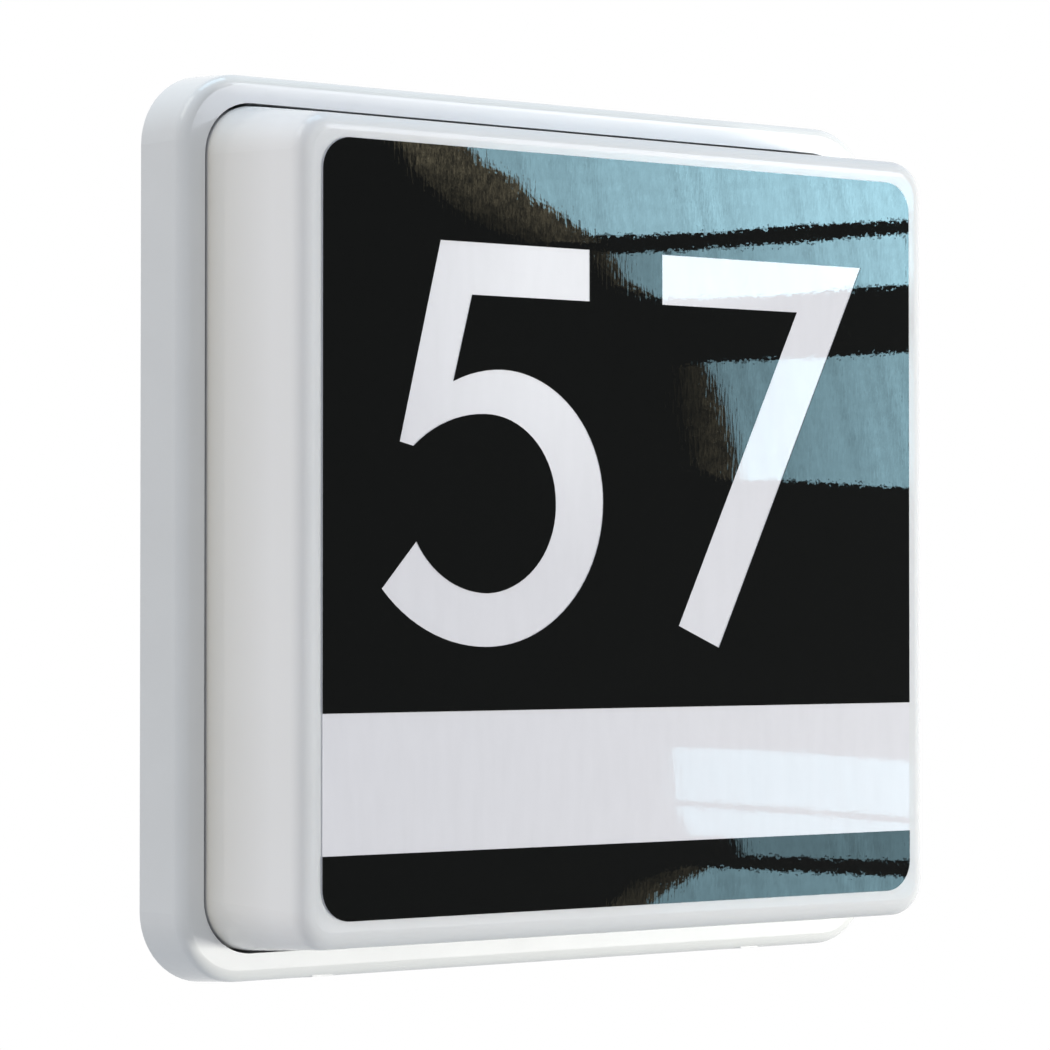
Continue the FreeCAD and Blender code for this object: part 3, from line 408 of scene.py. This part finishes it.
class HOUSESIGN_OT_diffuser(bpy.types.Operator):
    """Finish the opal diffuser, with a painted glow on its left side"""

    bl_idname = "housesign.diffuser"
    bl_label = "Diffuser"

    # Depths along Y, in metres. The painted glow, emission that stands in for lamp light passing through the
    # opal to its shaded left side, starts just in front of the housing's flange, and its colour changes from
    # the foot's to the side's between the other two.
    painted_glow_start = (-0.0165, -0.0175)
    side_to_foot = (-0.042, -0.018)

    def execute(self, context):
        look = context.scene.house_sign.diffuser
        f = Finish("opal plastic")
        clouds = f.grain(30 * MM, detail=3.0)
        specks = f.grain(0.45 * MM, detail=1.0)
        rubbed = f.grain(5 * MM, detail=4.0, roughness=0.65, stretch=(1, 1, 4))
        tone = f.blend(clouds.rise(0.35, 0.7), shade(look.opal, 0.98), look.opal)
        tone = f.blend(specks.rise(0.74, 0.82) * 0.05, tone, shade(look.opal, 0.75))
        # Painted glow: emission on the left-facing sides, growing towards the front, in place of lamp light
        # passing through the opal.
        leftward = (0.0 - f.facing(0)).clamped()
        lit = leftward ** 1.2 * f.along(1).rise(*self.painted_glow_start)
        painted_glow = f.blend(f.along(1).rise(*self.side_to_foot), look.painted_glow, look.painted_foot_glow)
        material = f.surface(
            Base_Color=tone,
            Emission_Color=f.blend(lit, BLACK, painted_glow),
            Emission_Strength=1.0,
            Roughness=rubbed.rise(0.35, 0.75) * 0.05 + look.gloss,
            Normal=f.relief(f.grain(1.1 * MM, detail=2.0), 0.003 * MM),
            Subsurface_Weight=0.4,
            Subsurface_Radius=(1.0, 0.95, 0.9),
            Subsurface_Scale=look.depth,
            Specular_IOR_Level=0.42,
            IOR=1.49,
        )
        put_on(material, "diffuser")
        return {"FINISHED"}


class HOUSESIGN_OT_films(bpy.types.Operator):
    """Finish the white and black films on the face, with a painted pool of light on the white film"""

    bl_idname = "housesign.films"
    bl_label = "Films"

    # The painted pool of light's middle, along X and Z, and how far from it the light ends and how near it
    # is full.
    painted_pool_middle = (-0.02, 0.062)
    painted_pool_edges = (0.07, 0.012)

    def film(self, name, colour, look, pool=None):
        """Glossy film with the fine upright ripple of a drawn sheet, and a painted pool of light glowing
        from the film if it has one.
        """
        f = Finish(name)
        hairs = f.grain(0.8 * MM, detail=1.0, stretch=(1, 1, 6))
        pebbles = f.grain(1.6 * MM, detail=1.0)
        waves = f.grain(3.0 * MM, detail=2.0, stretch=(1, 1, 5))
        dust = f.grain(0.6 * MM, detail=1.0)
        tone = f.blend(waves.rise(0.3, 0.75), colour, shade(colour, 0.97))
        tone = f.blend(dust.rise(0.8, 0.84) * 0.02, tone, (0.5, 0.5, 0.5))
        light = {}
        # Painted pool of light: the white film glows as emission, strongest round a middle point.
        if pool is not None:
            across, up = self.painted_pool_middle
            away = f.distance((across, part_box("backing_film")[0][1], up))
            painted_pool_colour = f.blend(away.rise(*self.painted_pool_edges), BLACK, pool)
            light = {"Emission_Color": painted_pool_colour, "Emission_Strength": 1.0}
        return f.surface(
            Base_Color=tone,
            Roughness=waves.rise(0.3, 0.8) * 0.01 + look.gloss,
            Normal=f.relief(hairs + pebbles * 0.7, look.ripple),
            Coat_Weight=0.5,
            Coat_Roughness=0.0,
            IOR=1.5,
            **light,
        )

    def execute(self, context):
        look = context.scene.house_sign.films
        put_on(self.film("black film", look.black, look), "number_film", "footer_film")
        put_on(self.film("white film", look.white, look, look.pool), "backing_film")
        return {"FINISHED"}


class HOUSESIGN_OT_gear_tray(bpy.types.Operator):
    """Finish the powder-coated gear tray"""

    bl_idname = "housesign.gear_tray"
    bl_label = "Gear tray"

    def execute(self, context):
        look = context.scene.house_sign.gear
        tray = moulded("powder coat", look.powder, 0.42, 0.012 * MM, peel_size=0.35 * MM, specked=0.12)
        put_on(tray, "gear_tray")
        return {"FINISHED"}


class HOUSESIGN_OT_lamp_boards(bpy.types.Operator):
    """Finish the lamp boards, their chips, connectors and short leads"""

    bl_idname = "housesign.lamp_boards"
    bl_label = "Lamp boards"

    boards = ["led_board_%d" % k for k in range(1, 5)]
    # Two tracks run up each board, one on each side of its middle line and this far from it.
    track_place = 3.4 * MM
    track_half_width = 0.55 * MM
    track_half_length = 62 * MM
    # How far to each side the phosphor in a chip reaches, and where the chip's pale case begins.
    phosphor_edge = (1.05 * MM, 1.15 * MM)

    def execute(self, context):
        look = context.scene.house_sign.gear
        middles = [sum(corner[0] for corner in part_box(name)) / 2 for name in self.boards[:2]]
        pitch = middles[1] - middles[0]

        f = Finish("board mask")
        from_middle = (f.along(0) - middles[0]).repeat(pitch)
        beside = abs(from_middle - self.track_place) < self.track_half_width
        tracks = beside * (abs(f.along(2)) < self.track_half_length)
        weave = f.grain(0.3 * MM, detail=2.0)
        tone = f.blend(weave, look.mask, shade(look.mask, 0.95))
        tone = f.blend(tracks * 0.5, tone, shade(look.mask, 0.86))
        skin = f.relief(tracks + weave * 0.1, 0.035 * MM)
        put_on(f.surface(Base_Color=tone, Roughness=weave * 0.1 + 0.32, Normal=skin), *self.boards)

        f = Finish("phosphor")
        grains = f.grain(0.12 * MM, detail=3.0)
        from_middle = (f.along(0) - middles[0]).repeat(pitch)
        tone = f.blend(grains, look.phosphor, shade(look.phosphor, 0.8))
        tone = f.blend(from_middle.rise(*self.phosphor_edge), tone, (0.86, 0.86, 0.83))
        skin = f.relief(grains, 0.01 * MM)
        put_on(f.surface(Base_Color=tone, Roughness=grains * 0.2 + 0.3, Normal=skin), "led_chips")

        put_on(moulded("connector plastic", (0.78, 0.78, 0.75), 0.4, 0.004 * MM), "board_connectors")
        put_on(insulation("short leads", (0.74, 0.74, 0.72)), "jumper_leads")
        return {"FINISHED"}


class HOUSESIGN_OT_driver(bpy.types.Operator):
    """Finish the driver's case, lid and insides"""

    bl_idname = "housesign.driver"
    bl_label = "Driver"

    # The circuit board's copper lanes, as pitch and half width: those that run up and those that run across.
    lanes_up = (4.2 * MM, 0.5 * MM)
    lanes_across = (5.1 * MM, 0.45 * MM)
    # Bare ferrite comes at this pitch along Z, and tape begins between these two distances from its middle.
    ferrite_pitch = 19.2 * MM
    tape_edge = (4.8 * MM, 5.0 * MM)
    # The capacitors are pale on the wall's side of this edge, along Y.
    stripe_edge = (-18.3 * MM, -18.2 * MM)

    def board(self):
        """Green board with copper lanes under its mask."""
        f = Finish("circuit board")
        weave = f.grain(0.35 * MM, detail=2.0)
        (pitch_up, half_up), (pitch_across, half_across) = self.lanes_up, self.lanes_across
        upward = f.along(0).repeat(pitch_up) < half_up
        lanes = upward.either(f.along(2).repeat(pitch_across) < half_across)
        tone = f.blend(lanes, (0.012, 0.1, 0.035), (0.03, 0.2, 0.07))
        tone = f.blend(weave * 0.4, tone, (0.006, 0.06, 0.02))
        skin = f.relief(lanes + weave * 0.2, 0.03 * MM)
        return f.surface(Base_Color=tone, Roughness=weave * 0.1 + 0.3, Normal=skin)

    def transformer(self):
        """Black ferrite core with yellow tape round it."""
        f = Finish("ferrite and tape")
        from_middle = f.along(2).repeat(self.ferrite_pitch)
        grit = f.grain(0.15 * MM, detail=3.0)
        tone = f.blend(from_middle.rise(*self.tape_edge), (0.03, 0.03, 0.033), (0.72, 0.5, 0.05))
        tone = f.blend(grit * 0.4, tone, (0.02, 0.02, 0.02))
        return f.surface(Base_Color=tone, Roughness=grit * 0.2 + 0.4, Normal=f.relief(grit, 0.01 * MM))

    def capacitor(self):
        """Dark blue sleeve with a pale stripe."""
        f = Finish("capacitor sleeve")
        sheen = f.grain(1.2 * MM, detail=3.0)
        stripe = f.along(1).rise(*self.stripe_edge)
        tone = f.blend(sheen * 0.5, (0.01, 0.014, 0.05), (0.03, 0.035, 0.09))
        tone = f.blend(stripe * 0.7, tone, (0.4, 0.4, 0.42))
        return f.surface(Base_Color=tone, Roughness=sheen * 0.1 + 0.25, Normal=f.relief(sheen, 0.01 * MM))

    def execute(self, context):
        look = context.scene.house_sign.gear
        case = moulded("driver case", look.case, 0.5, 0.02 * MM, peel_size=0.5 * MM, specked=0.1)
        put_on(case, "driver_case", "driver_lid")
        put_on(self.board(), "driver_board")
        put_on(self.transformer(), "driver_transformer")
        put_on(self.capacitor(), "driver_capacitors")
        return {"FINISHED"}


class HOUSESIGN_OT_terminals(bpy.types.Operator):
    """Finish the terminal block, the cable clamp, the earth lug and the brass inserts"""

    bl_idname = "housesign.terminals"
    bl_label = "Terminals"

    def execute(self, context):
        look = context.scene.house_sign.gear
        block = moulded("terminal plastic", look.block, 0.45, 0.008 * MM, peel_size=0.4 * MM, specked=0.12)
        put_on(block, "terminal_block", "cable_clamp")
        put_on(plated("brass", look.brass, 0.22), "terminal_clamps", "earth_lug", "lock_inserts")
        return {"FINISHED"}


class HOUSESIGN_OT_wires(bpy.types.Operator):
    """Finish the wires"""

    bl_idname = "housesign.wires"
    bl_label = "Wires"

    def execute(self, context):
        put_on(insulation("brown wire", (0.12, 0.045, 0.018)), "live_wire")
        put_on(insulation("blue wire", (0.02, 0.08, 0.38)), "neutral_wire")
        put_on(insulation("earth wire", (0.03, 0.25, 0.03), (0.75, 0.65, 0.03)), "earth_wire")
        put_on(insulation("red lead", (0.42, 0.015, 0.012)), "led_lead_positive")
        put_on(insulation("black lead", (0.018, 0.018, 0.018)), "led_lead_negative")
        return {"FINISHED"}


class HOUSESIGN_OT_screws(bpy.types.Operator):
    """Finish the screws"""

    bl_idname = "housesign.screws"
    bl_label = "Screws"

    def execute(self, context):
        look = context.scene.house_sign.gear
        sets = ("board", "tray", "driver", "terminal", "terminal_fixing", "cable_clamp")
        put_on(plated("plated steel", look.steel, 0.25), "earth_screw", *[name + "_screws" for name in sets])
        put_on(plated("plain steel", shade(look.steel, 1.05), 0.2), "lock_screw_left", "lock_screw_right")
        return {"FINISHED"}


# ---------------------------------------------------------------- stage
# Places on the face are given in millimetres, right of and below the top left corner of the film.

# The bright cards that the sign's gloss mirrors. Each has its name, the setting that colours it, how bright
# it is at its left and right ends, its fades, and its corners. A fade is a place down the film and the share
# of light there, and then another place and its share.
CARDS = (
    ("pane_1", "daylight", (5.0, 9.6), (), (
        (42, -2), (42.8, 0.2), (48.7, 3.9), (58.3, 7), (63.6, 11.5), (70.9, 14.1), (76.9, 17.5),
        (82.6, 19.8), (117, 17.2), (151, 13.3), (194.5, 9.3), (194.5, -2))),
    ("pane_2", "daylight", (0.4, 8.2), (), (
        (88.4, 24.3), (117, 21.6), (151, 17.9), (194.5, 12.8), (194.5, 26.5), (172, 28.9), (140, 32.5),
        (104, 34.9), (93, 30.6))),
    ("pane_3", "daylight", (0.2, 4.8), (), (
        (119, 50.8), (143, 49.2), (162, 47.7), (194.5, 44.9), (194.5, 82), (146, 80.7), (131.4, 80.9),
        (129, 72), (124, 57.7))),
    ("pane_4", "daylight", (1.7, 2.2), (), (
        (108, 150), (150, 152.2), (194.5, 156), (194.5, 171), (150, 166.9), (109.5, 163.6))),
    ("pane_5", "daylight", (1.7, 2.2), (), (
        (109.5, 165.1), (150, 168.5), (194.5, 172.6), (194.5, 182.6), (132, 178.6), (130, 174),
        (114, 172.7))),
    ("pane_6", "daylight", (2.2, 3.6), (), (
        (120.5, 181.5), (151, 183.8), (194.5, 187), (194.5, 192), (99, 192), (104, 187.7))),
    # Above and below the film: these show on the housing's flange and the diffuser's rounded edge.
    ("sky", "sky", (6.3, 9.2), ((-4, 0.65, -22, 1.0), (-60, 1.0, -320, 0.65)), (
        (-14, -3), (192, -3), (300, -20), (330, -320), (-70, -320), (-40, -14))),
    ("ground", "ground", (4.8, 5.6), ((192, 0.0, 195, 1.0),), (
        (-60, 192), (260, 192), (260, 236), (-60, 236))),
)
# The dim warm edges beside the panes. Each has the place where its light starts, the place where it is at
# full strength, that strength, and its corners.
EDGES = (
    ((55.3, 21.8), (61, 11.5), 1.0, (
        (20, -2), (28, 8), (44, 18), (62, 22.5), (84, 21.5), (82.6, 20), (76.9, 17.5), (70.9, 14.1),
        (63.6, 11.5), (58.3, 7), (48.7, 3.9), (42, -2))),
    ((80, 29), (91, 27), 0.6, (
        (81, 23.5), (88.4, 23.9), (93, 30.6), (104, 34.9), (89.4, 32))),
    ((109, 68), (127, 66), 0.5, (
        (110, 52.5), (119, 50.8), (124, 57.7), (129, 72), (131.4, 80.9), (126, 81), (117, 78), (112, 66))),
    ((104.6, 180), (109, 188), 0.6, (
        (114, 180.7), (120.5, 181.5), (104, 187.7), (97.4, 192), (84.5, 192), (97.4, 183.6))),
)
EDGE_SHADOW = (0.12, 0.11, 0.08)
EDGE_STREAK = (2.4, 2.1, 1.35)
# The film's middle, both across and down.
MIDDLE = 95
# The two places across the film between which a card's light goes from its left end's to its right end's.
LEFT_END = 50
RIGHT_END = 190
DARK_CARD = ((-60, -60), (250, -60), (250, 250), (-60, 250))
# How far in front of the face the bright cards and the dark card behind them hang, in metres.
CARD_REACH = 1.45
DARK_REACH = 1.46

# Each lamp has its name, its place and size in metres, the setting for its power, its share of that, its
# colour, and whether the sign's gloss mirrors it.
LAMPS = (
    ("key_lamp", (1.177, -1.09, -0.223), (0.27, 0.2), "key", 1.0, (1.0, 0.985, 0.9), False),
    ("side_lamp", (-1.217, 0.106, 1.455), (1.0, 1.0), "side", 1.0, (1.0, 0.97, 0.9), True),
    ("high_lamp", (0.0, -0.07, 1.9), (1.0, 1.0), "high", 1.0, (0.55, 0.82, 1.0), True),
    ("low_corner_lamp", (-0.22, 0.03, -0.27), (0.15, 0.15), "corner", 1.0, (0.85, 0.9, 1.0), False),
    ("up_corner_lamp", (-0.22, 0.03, 0.27), (0.15, 0.15), "corner", 0.6, (0.85, 0.9, 1.0), False),
)
# The point that the lamps look at.
SIGN_MIDDLE = (0, -0.03, 0)
FILL_COLOUR = (0.93, 0.955, 1.0)
# The floor's radius, the number of its sides, and between which distances it fades, in metres.
FLOOR_REACH = 1.7
FLOOR_SIDES = 96
FLOOR_FADE = (0.35, 1.25)


class Mirror:
    """The film as a mirror: where a card has to hang to be seen at a place on the film."""

    def __init__(self, setup, ahead):
        low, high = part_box("number_film")
        eye = Vector(setup.camera_place)
        self.left, self.face, self.top = low[0], low[1], high[2]
        self.eye = Vector((eye.x, 2 * self.face - eye.y, eye.z))
        self.out = Vector((ahead.x, -ahead.y, ahead.z))
        self.centre = Vector(((low[0] + high[0]) / 2, self.face, 0.0))

    def point(self, right, down, reach=CARD_REACH):
        """The point this far in front of the face that the camera sees mirrored at a place on the film."""
        spot = Vector((self.left + right * MM, self.face, self.top - down * MM))
        ray = spot - self.eye
        depth = (self.centre + self.out * reach - self.eye).dot(self.out)
        return self.eye + ray * (depth / ray.dot(self.out))

    def height(self, down):
        """The height on a bright card that is seen this far down the film's middle."""
        return self.point(MIDDLE, down).z


class HOUSESIGN_OT_stage(bpy.types.Operator):
    """Set up the camera, the lamps, the floor and what the sign's gloss mirrors"""

    bl_idname = "housesign.stage"
    bl_label = "Stage"

    def camera(self, scene, setup):
        """The camera, at the photograph's angle. Gives the direction in which it looks."""
        data = bpy.data.cameras.new("camera")
        data.lens = setup.lens
        data.sensor_width = 36.0
        data.clip_end = 50.0
        piece = bpy.data.objects.new("camera", data)
        turn, tilt, roll = setup.camera_turn, setup.camera_tilt, setup.camera_roll
        ahead = Vector((math.sin(turn) * math.cos(tilt), math.cos(turn) * math.cos(tilt), math.sin(tilt)))
        level = Vector((math.cos(turn), -math.sin(turn), 0.0))
        upright = level.cross(ahead)
        right = level * math.cos(roll) + upright * math.sin(roll)
        above = upright * math.cos(roll) - level * math.sin(roll)
        axes = Matrix((right, above, -ahead)).transposed().to_4x4()
        piece.matrix_world = Matrix.Translation(setup.camera_place) @ axes
        scene.collection.objects.link(piece)
        scene.camera = piece
        return ahead

    def lamps(self, scene, setup):
        """Soft lamps that look at the sign."""
        for name, place, size, setting, share, colour, mirrored in LAMPS:
            data = bpy.data.lights.new(name, "AREA")
            data.shape = "RECTANGLE"
            data.size, data.size_y = size
            data.energy = getattr(setup, setting) * share
            data.color = colour
            piece = bpy.data.objects.new(name, data)
            piece.location = place
            toward = Vector(SIGN_MIDDLE) - Vector(place)
            piece.rotation_euler = toward.to_track_quat("-Z", "Y").to_euler()
            piece.visible_camera = False
            piece.visible_glossy = mirrored
            scene.collection.objects.link(piece)

    def sheet(self, scene, name, corners, material):
        """A flat stage piece."""
        mesh = bpy.data.meshes.new(name)
        mesh.from_pydata([tuple(c) for c in corners], [], [range(len(corners))])
        mesh.materials.append(material)
        piece = bpy.data.objects.new(name, mesh)
        scene.collection.objects.link(piece)
        return piece

    def hang(self, scene, mirror, name, outline, material, reach=CARD_REACH):
        """Hangs a card that shows only where it is mirrored."""
        corners = [mirror.point(*corner, reach) for corner in outline]
        piece = self.sheet(scene, name, corners, material)
        piece.visible_camera = False
        piece.visible_diffuse = False
        piece.visible_shadow = False

    def dark_card(self, scene, mirror):
        """A dark card behind the others, which keeps the black film black."""
        f = Finish("dark card")
        dark = f.surface(Base_Color=(0.02, 0.02, 0.02), Roughness=0.9, Specular_IOR_Level=0.0)
        self.hang(scene, mirror, "dark_card", DARK_CARD, dark, DARK_REACH)

    def bright_cards(self, scene, setup, mirror):
        """Panes of daylight, the sky and the ground, all with soft slanting folds and fine grit."""
        left, right = mirror.point(LEFT_END, MIDDLE), mirror.point(RIGHT_END, MIDDLE)
        across = (right - left).normalized()
        slant = (across * 0.97 + Vector((0, 0, 1)) * 0.24).normalized()
        for name, tint, (dim, bright), fades, outline in CARDS:
            f = Finish(name)
            share = f.dot(across).rise(left.dot(across), right.dot(across))
            pleats = {"W": f.dot(slant) * (1 / setup.fold), "Scale": 1.0, "Detail": 1.0, "Roughness": 0.4}
            folds = f.node("ShaderNodeTexNoise", {"noise_dimensions": "1D"}, pleats).rise(0.3, 0.7)
            grit = f.grain(1.9 * MM, detail=2.0, stretch=(1, 1, 3)).rise(0.3, 0.7)
            strength = (share * (bright - dim) + dim) * (folds * 0.32 + grit * 0.3 + 0.69)
            for start, start_share, end, end_share in fades:
                grown = f.along(2).rise(mirror.height(start), mirror.height(end))
                strength = strength * (grown * (end_share - start_share) + start_share)
            self.hang(scene, mirror, name, outline, f.lit(getattr(setup, tint), strength))

    def dim_edges(self, scene, mirror):
        """Dim warm edges beside the panes, broken into upright streaks."""
        for k, (start, end, full, outline) in enumerate(EDGES, 1):
            f = Finish("dim edge %d" % k)
            start, end = mirror.point(*start), mirror.point(*end)
            run = (end - start).normalized()
            grown = f.dot(run).rise(start.dot(run), end.dot(run))
            streaks = f.grain(1.5 * MM, detail=3.0, roughness=0.7, stretch=(1, 1, 4)).rise(0.45, 0.7)
            tone = f.blend(streaks, EDGE_SHADOW, EDGE_STREAK)
            self.hang(scene, mirror, "dim_edge_%d" % k, outline, f.lit(tone, grown * full))

    def floor(self, scene, setup):
        """A round pale floor that fades into the white round it and keeps the sign's shadow.

        It is clear from below, so that the sign's underside can be seen.
        """
        f = Finish("pale floor")
        x, y = f.along(0), f.along(1)
        away = (x * x + y * y).root()
        tone = f.blend(f.grain(4 * MM, detail=3.0), (0.45, 0.45, 0.45), (0.48, 0.48, 0.48))
        plain = f.node("ShaderNodeBsdfDiffuse", inputs={"Color": tone})
        white = f.node("ShaderNodeEmission", inputs={"Color": opaque(WHITE), "Strength": 1.0})
        share = f.ray("Camera").either(f.ray("Glossy")) * (away.rise(*FLOOR_FADE) * 0.4 + 0.6)
        above = f.node("ShaderNodeMixShader", inputs={0: share, 1: plain, 2: white})
        clear = f.node("ShaderNodeBsdfTransparent")
        below = f.node("ShaderNodeNewGeometry", output="Backfacing")
        material = f.ended(f.node("ShaderNodeMixShader", inputs={0: below, 1: above, 2: clear}))
        rim = [math.radians(360 / FLOOR_SIDES * k) for k in range(FLOOR_SIDES)]
        corners = [(FLOOR_REACH * math.cos(a), FLOOR_REACH * math.sin(a), -setup.floor_drop) for a in rim]
        self.sheet(scene, "floor", corners, material)

    def surroundings(self, scene, setup):
        """White where it is seen or mirrored, and a soft fill as light."""
        world = bpy.data.worlds.new("surroundings")
        world.use_nodes = True
        f = Finish("surroundings", world.node_tree)
        seen = f.ray("Camera").either(f.ray("Glossy")).either(f.ray("Transmission"))
        tone = f.blend(seen, FILL_COLOUR, WHITE)
        strength = seen * (1.0 - setup.fill) + setup.fill
        shader = f.node("ShaderNodeBackground", inputs={"Color": tone, "Strength": strength})
        f.node("ShaderNodeOutputWorld", inputs={"Surface": shader})
        scene.world = world

    def execute(self, context):
        scene = context.scene
        setup = scene.house_sign.stage
        scene.view_settings.view_transform = "Standard"
        mirror = Mirror(setup, self.camera(scene, setup))
        self.lamps(scene, setup)
        self.dark_card(scene, mirror)
        self.bright_cards(scene, setup, mirror)
        self.dim_edges(scene, mirror)
        self.floor(scene, setup)
        self.surroundings(scene, setup)
        return {"FINISHED"}


PIECES = (
    HOUSESIGN_OT_housing,
    HOUSESIGN_OT_seals,
    HOUSESIGN_OT_diffuser,
    HOUSESIGN_OT_films,
    HOUSESIGN_OT_gear_tray,
    HOUSESIGN_OT_lamp_boards,
    HOUSESIGN_OT_driver,
    HOUSESIGN_OT_terminals,
    HOUSESIGN_OT_wires,
    HOUSESIGN_OT_screws,
    HOUSESIGN_OT_stage,
)


class HOUSESIGN_PT_sign(bpy.types.Panel):
    """Lists the sign's pieces and what can be changed"""

    bl_idname = "HOUSESIGN_PT_sign"
    bl_label = "House Sign"
    bl_space_type = "VIEW_3D"
    bl_region_type = "UI"
    bl_category = "House Sign"

    def draw(self, context):
        layout = self.layout
        look = context.scene.house_sign
        for piece in PIECES:
            layout.operator(piece.bl_idname)
        for group in (look.housing, look.diffuser, look.films, look.gear, look.stage):
            box = layout.box()
            for name in group.bl_rna.properties.keys():
                if name not in ("rna_type", "name"):
                    box.prop(group, name)


CLASSES = (HousingLook, DiffuserLook, FilmLook, GearLook, StageSetup, SignLook, *PIECES, HOUSESIGN_PT_sign)


def register():
    """Registers the classes and the sign's settings."""
    for one in CLASSES:
        bpy.utils.register_class(one)
    bpy.types.Scene.house_sign = PointerProperty(type=SignLook)


def unregister():
    """Takes the classes and the settings away."""
    del bpy.types.Scene.house_sign
    for one in reversed(CLASSES):
        bpy.utils.unregister_class(one)


def main():
    """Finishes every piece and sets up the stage."""
    register()
    for piece in PIECES:
        group, name = piece.bl_idname.split(".")
        getattr(getattr(bpy.ops, group), name)()


if __name__ == "__main__":
    main()
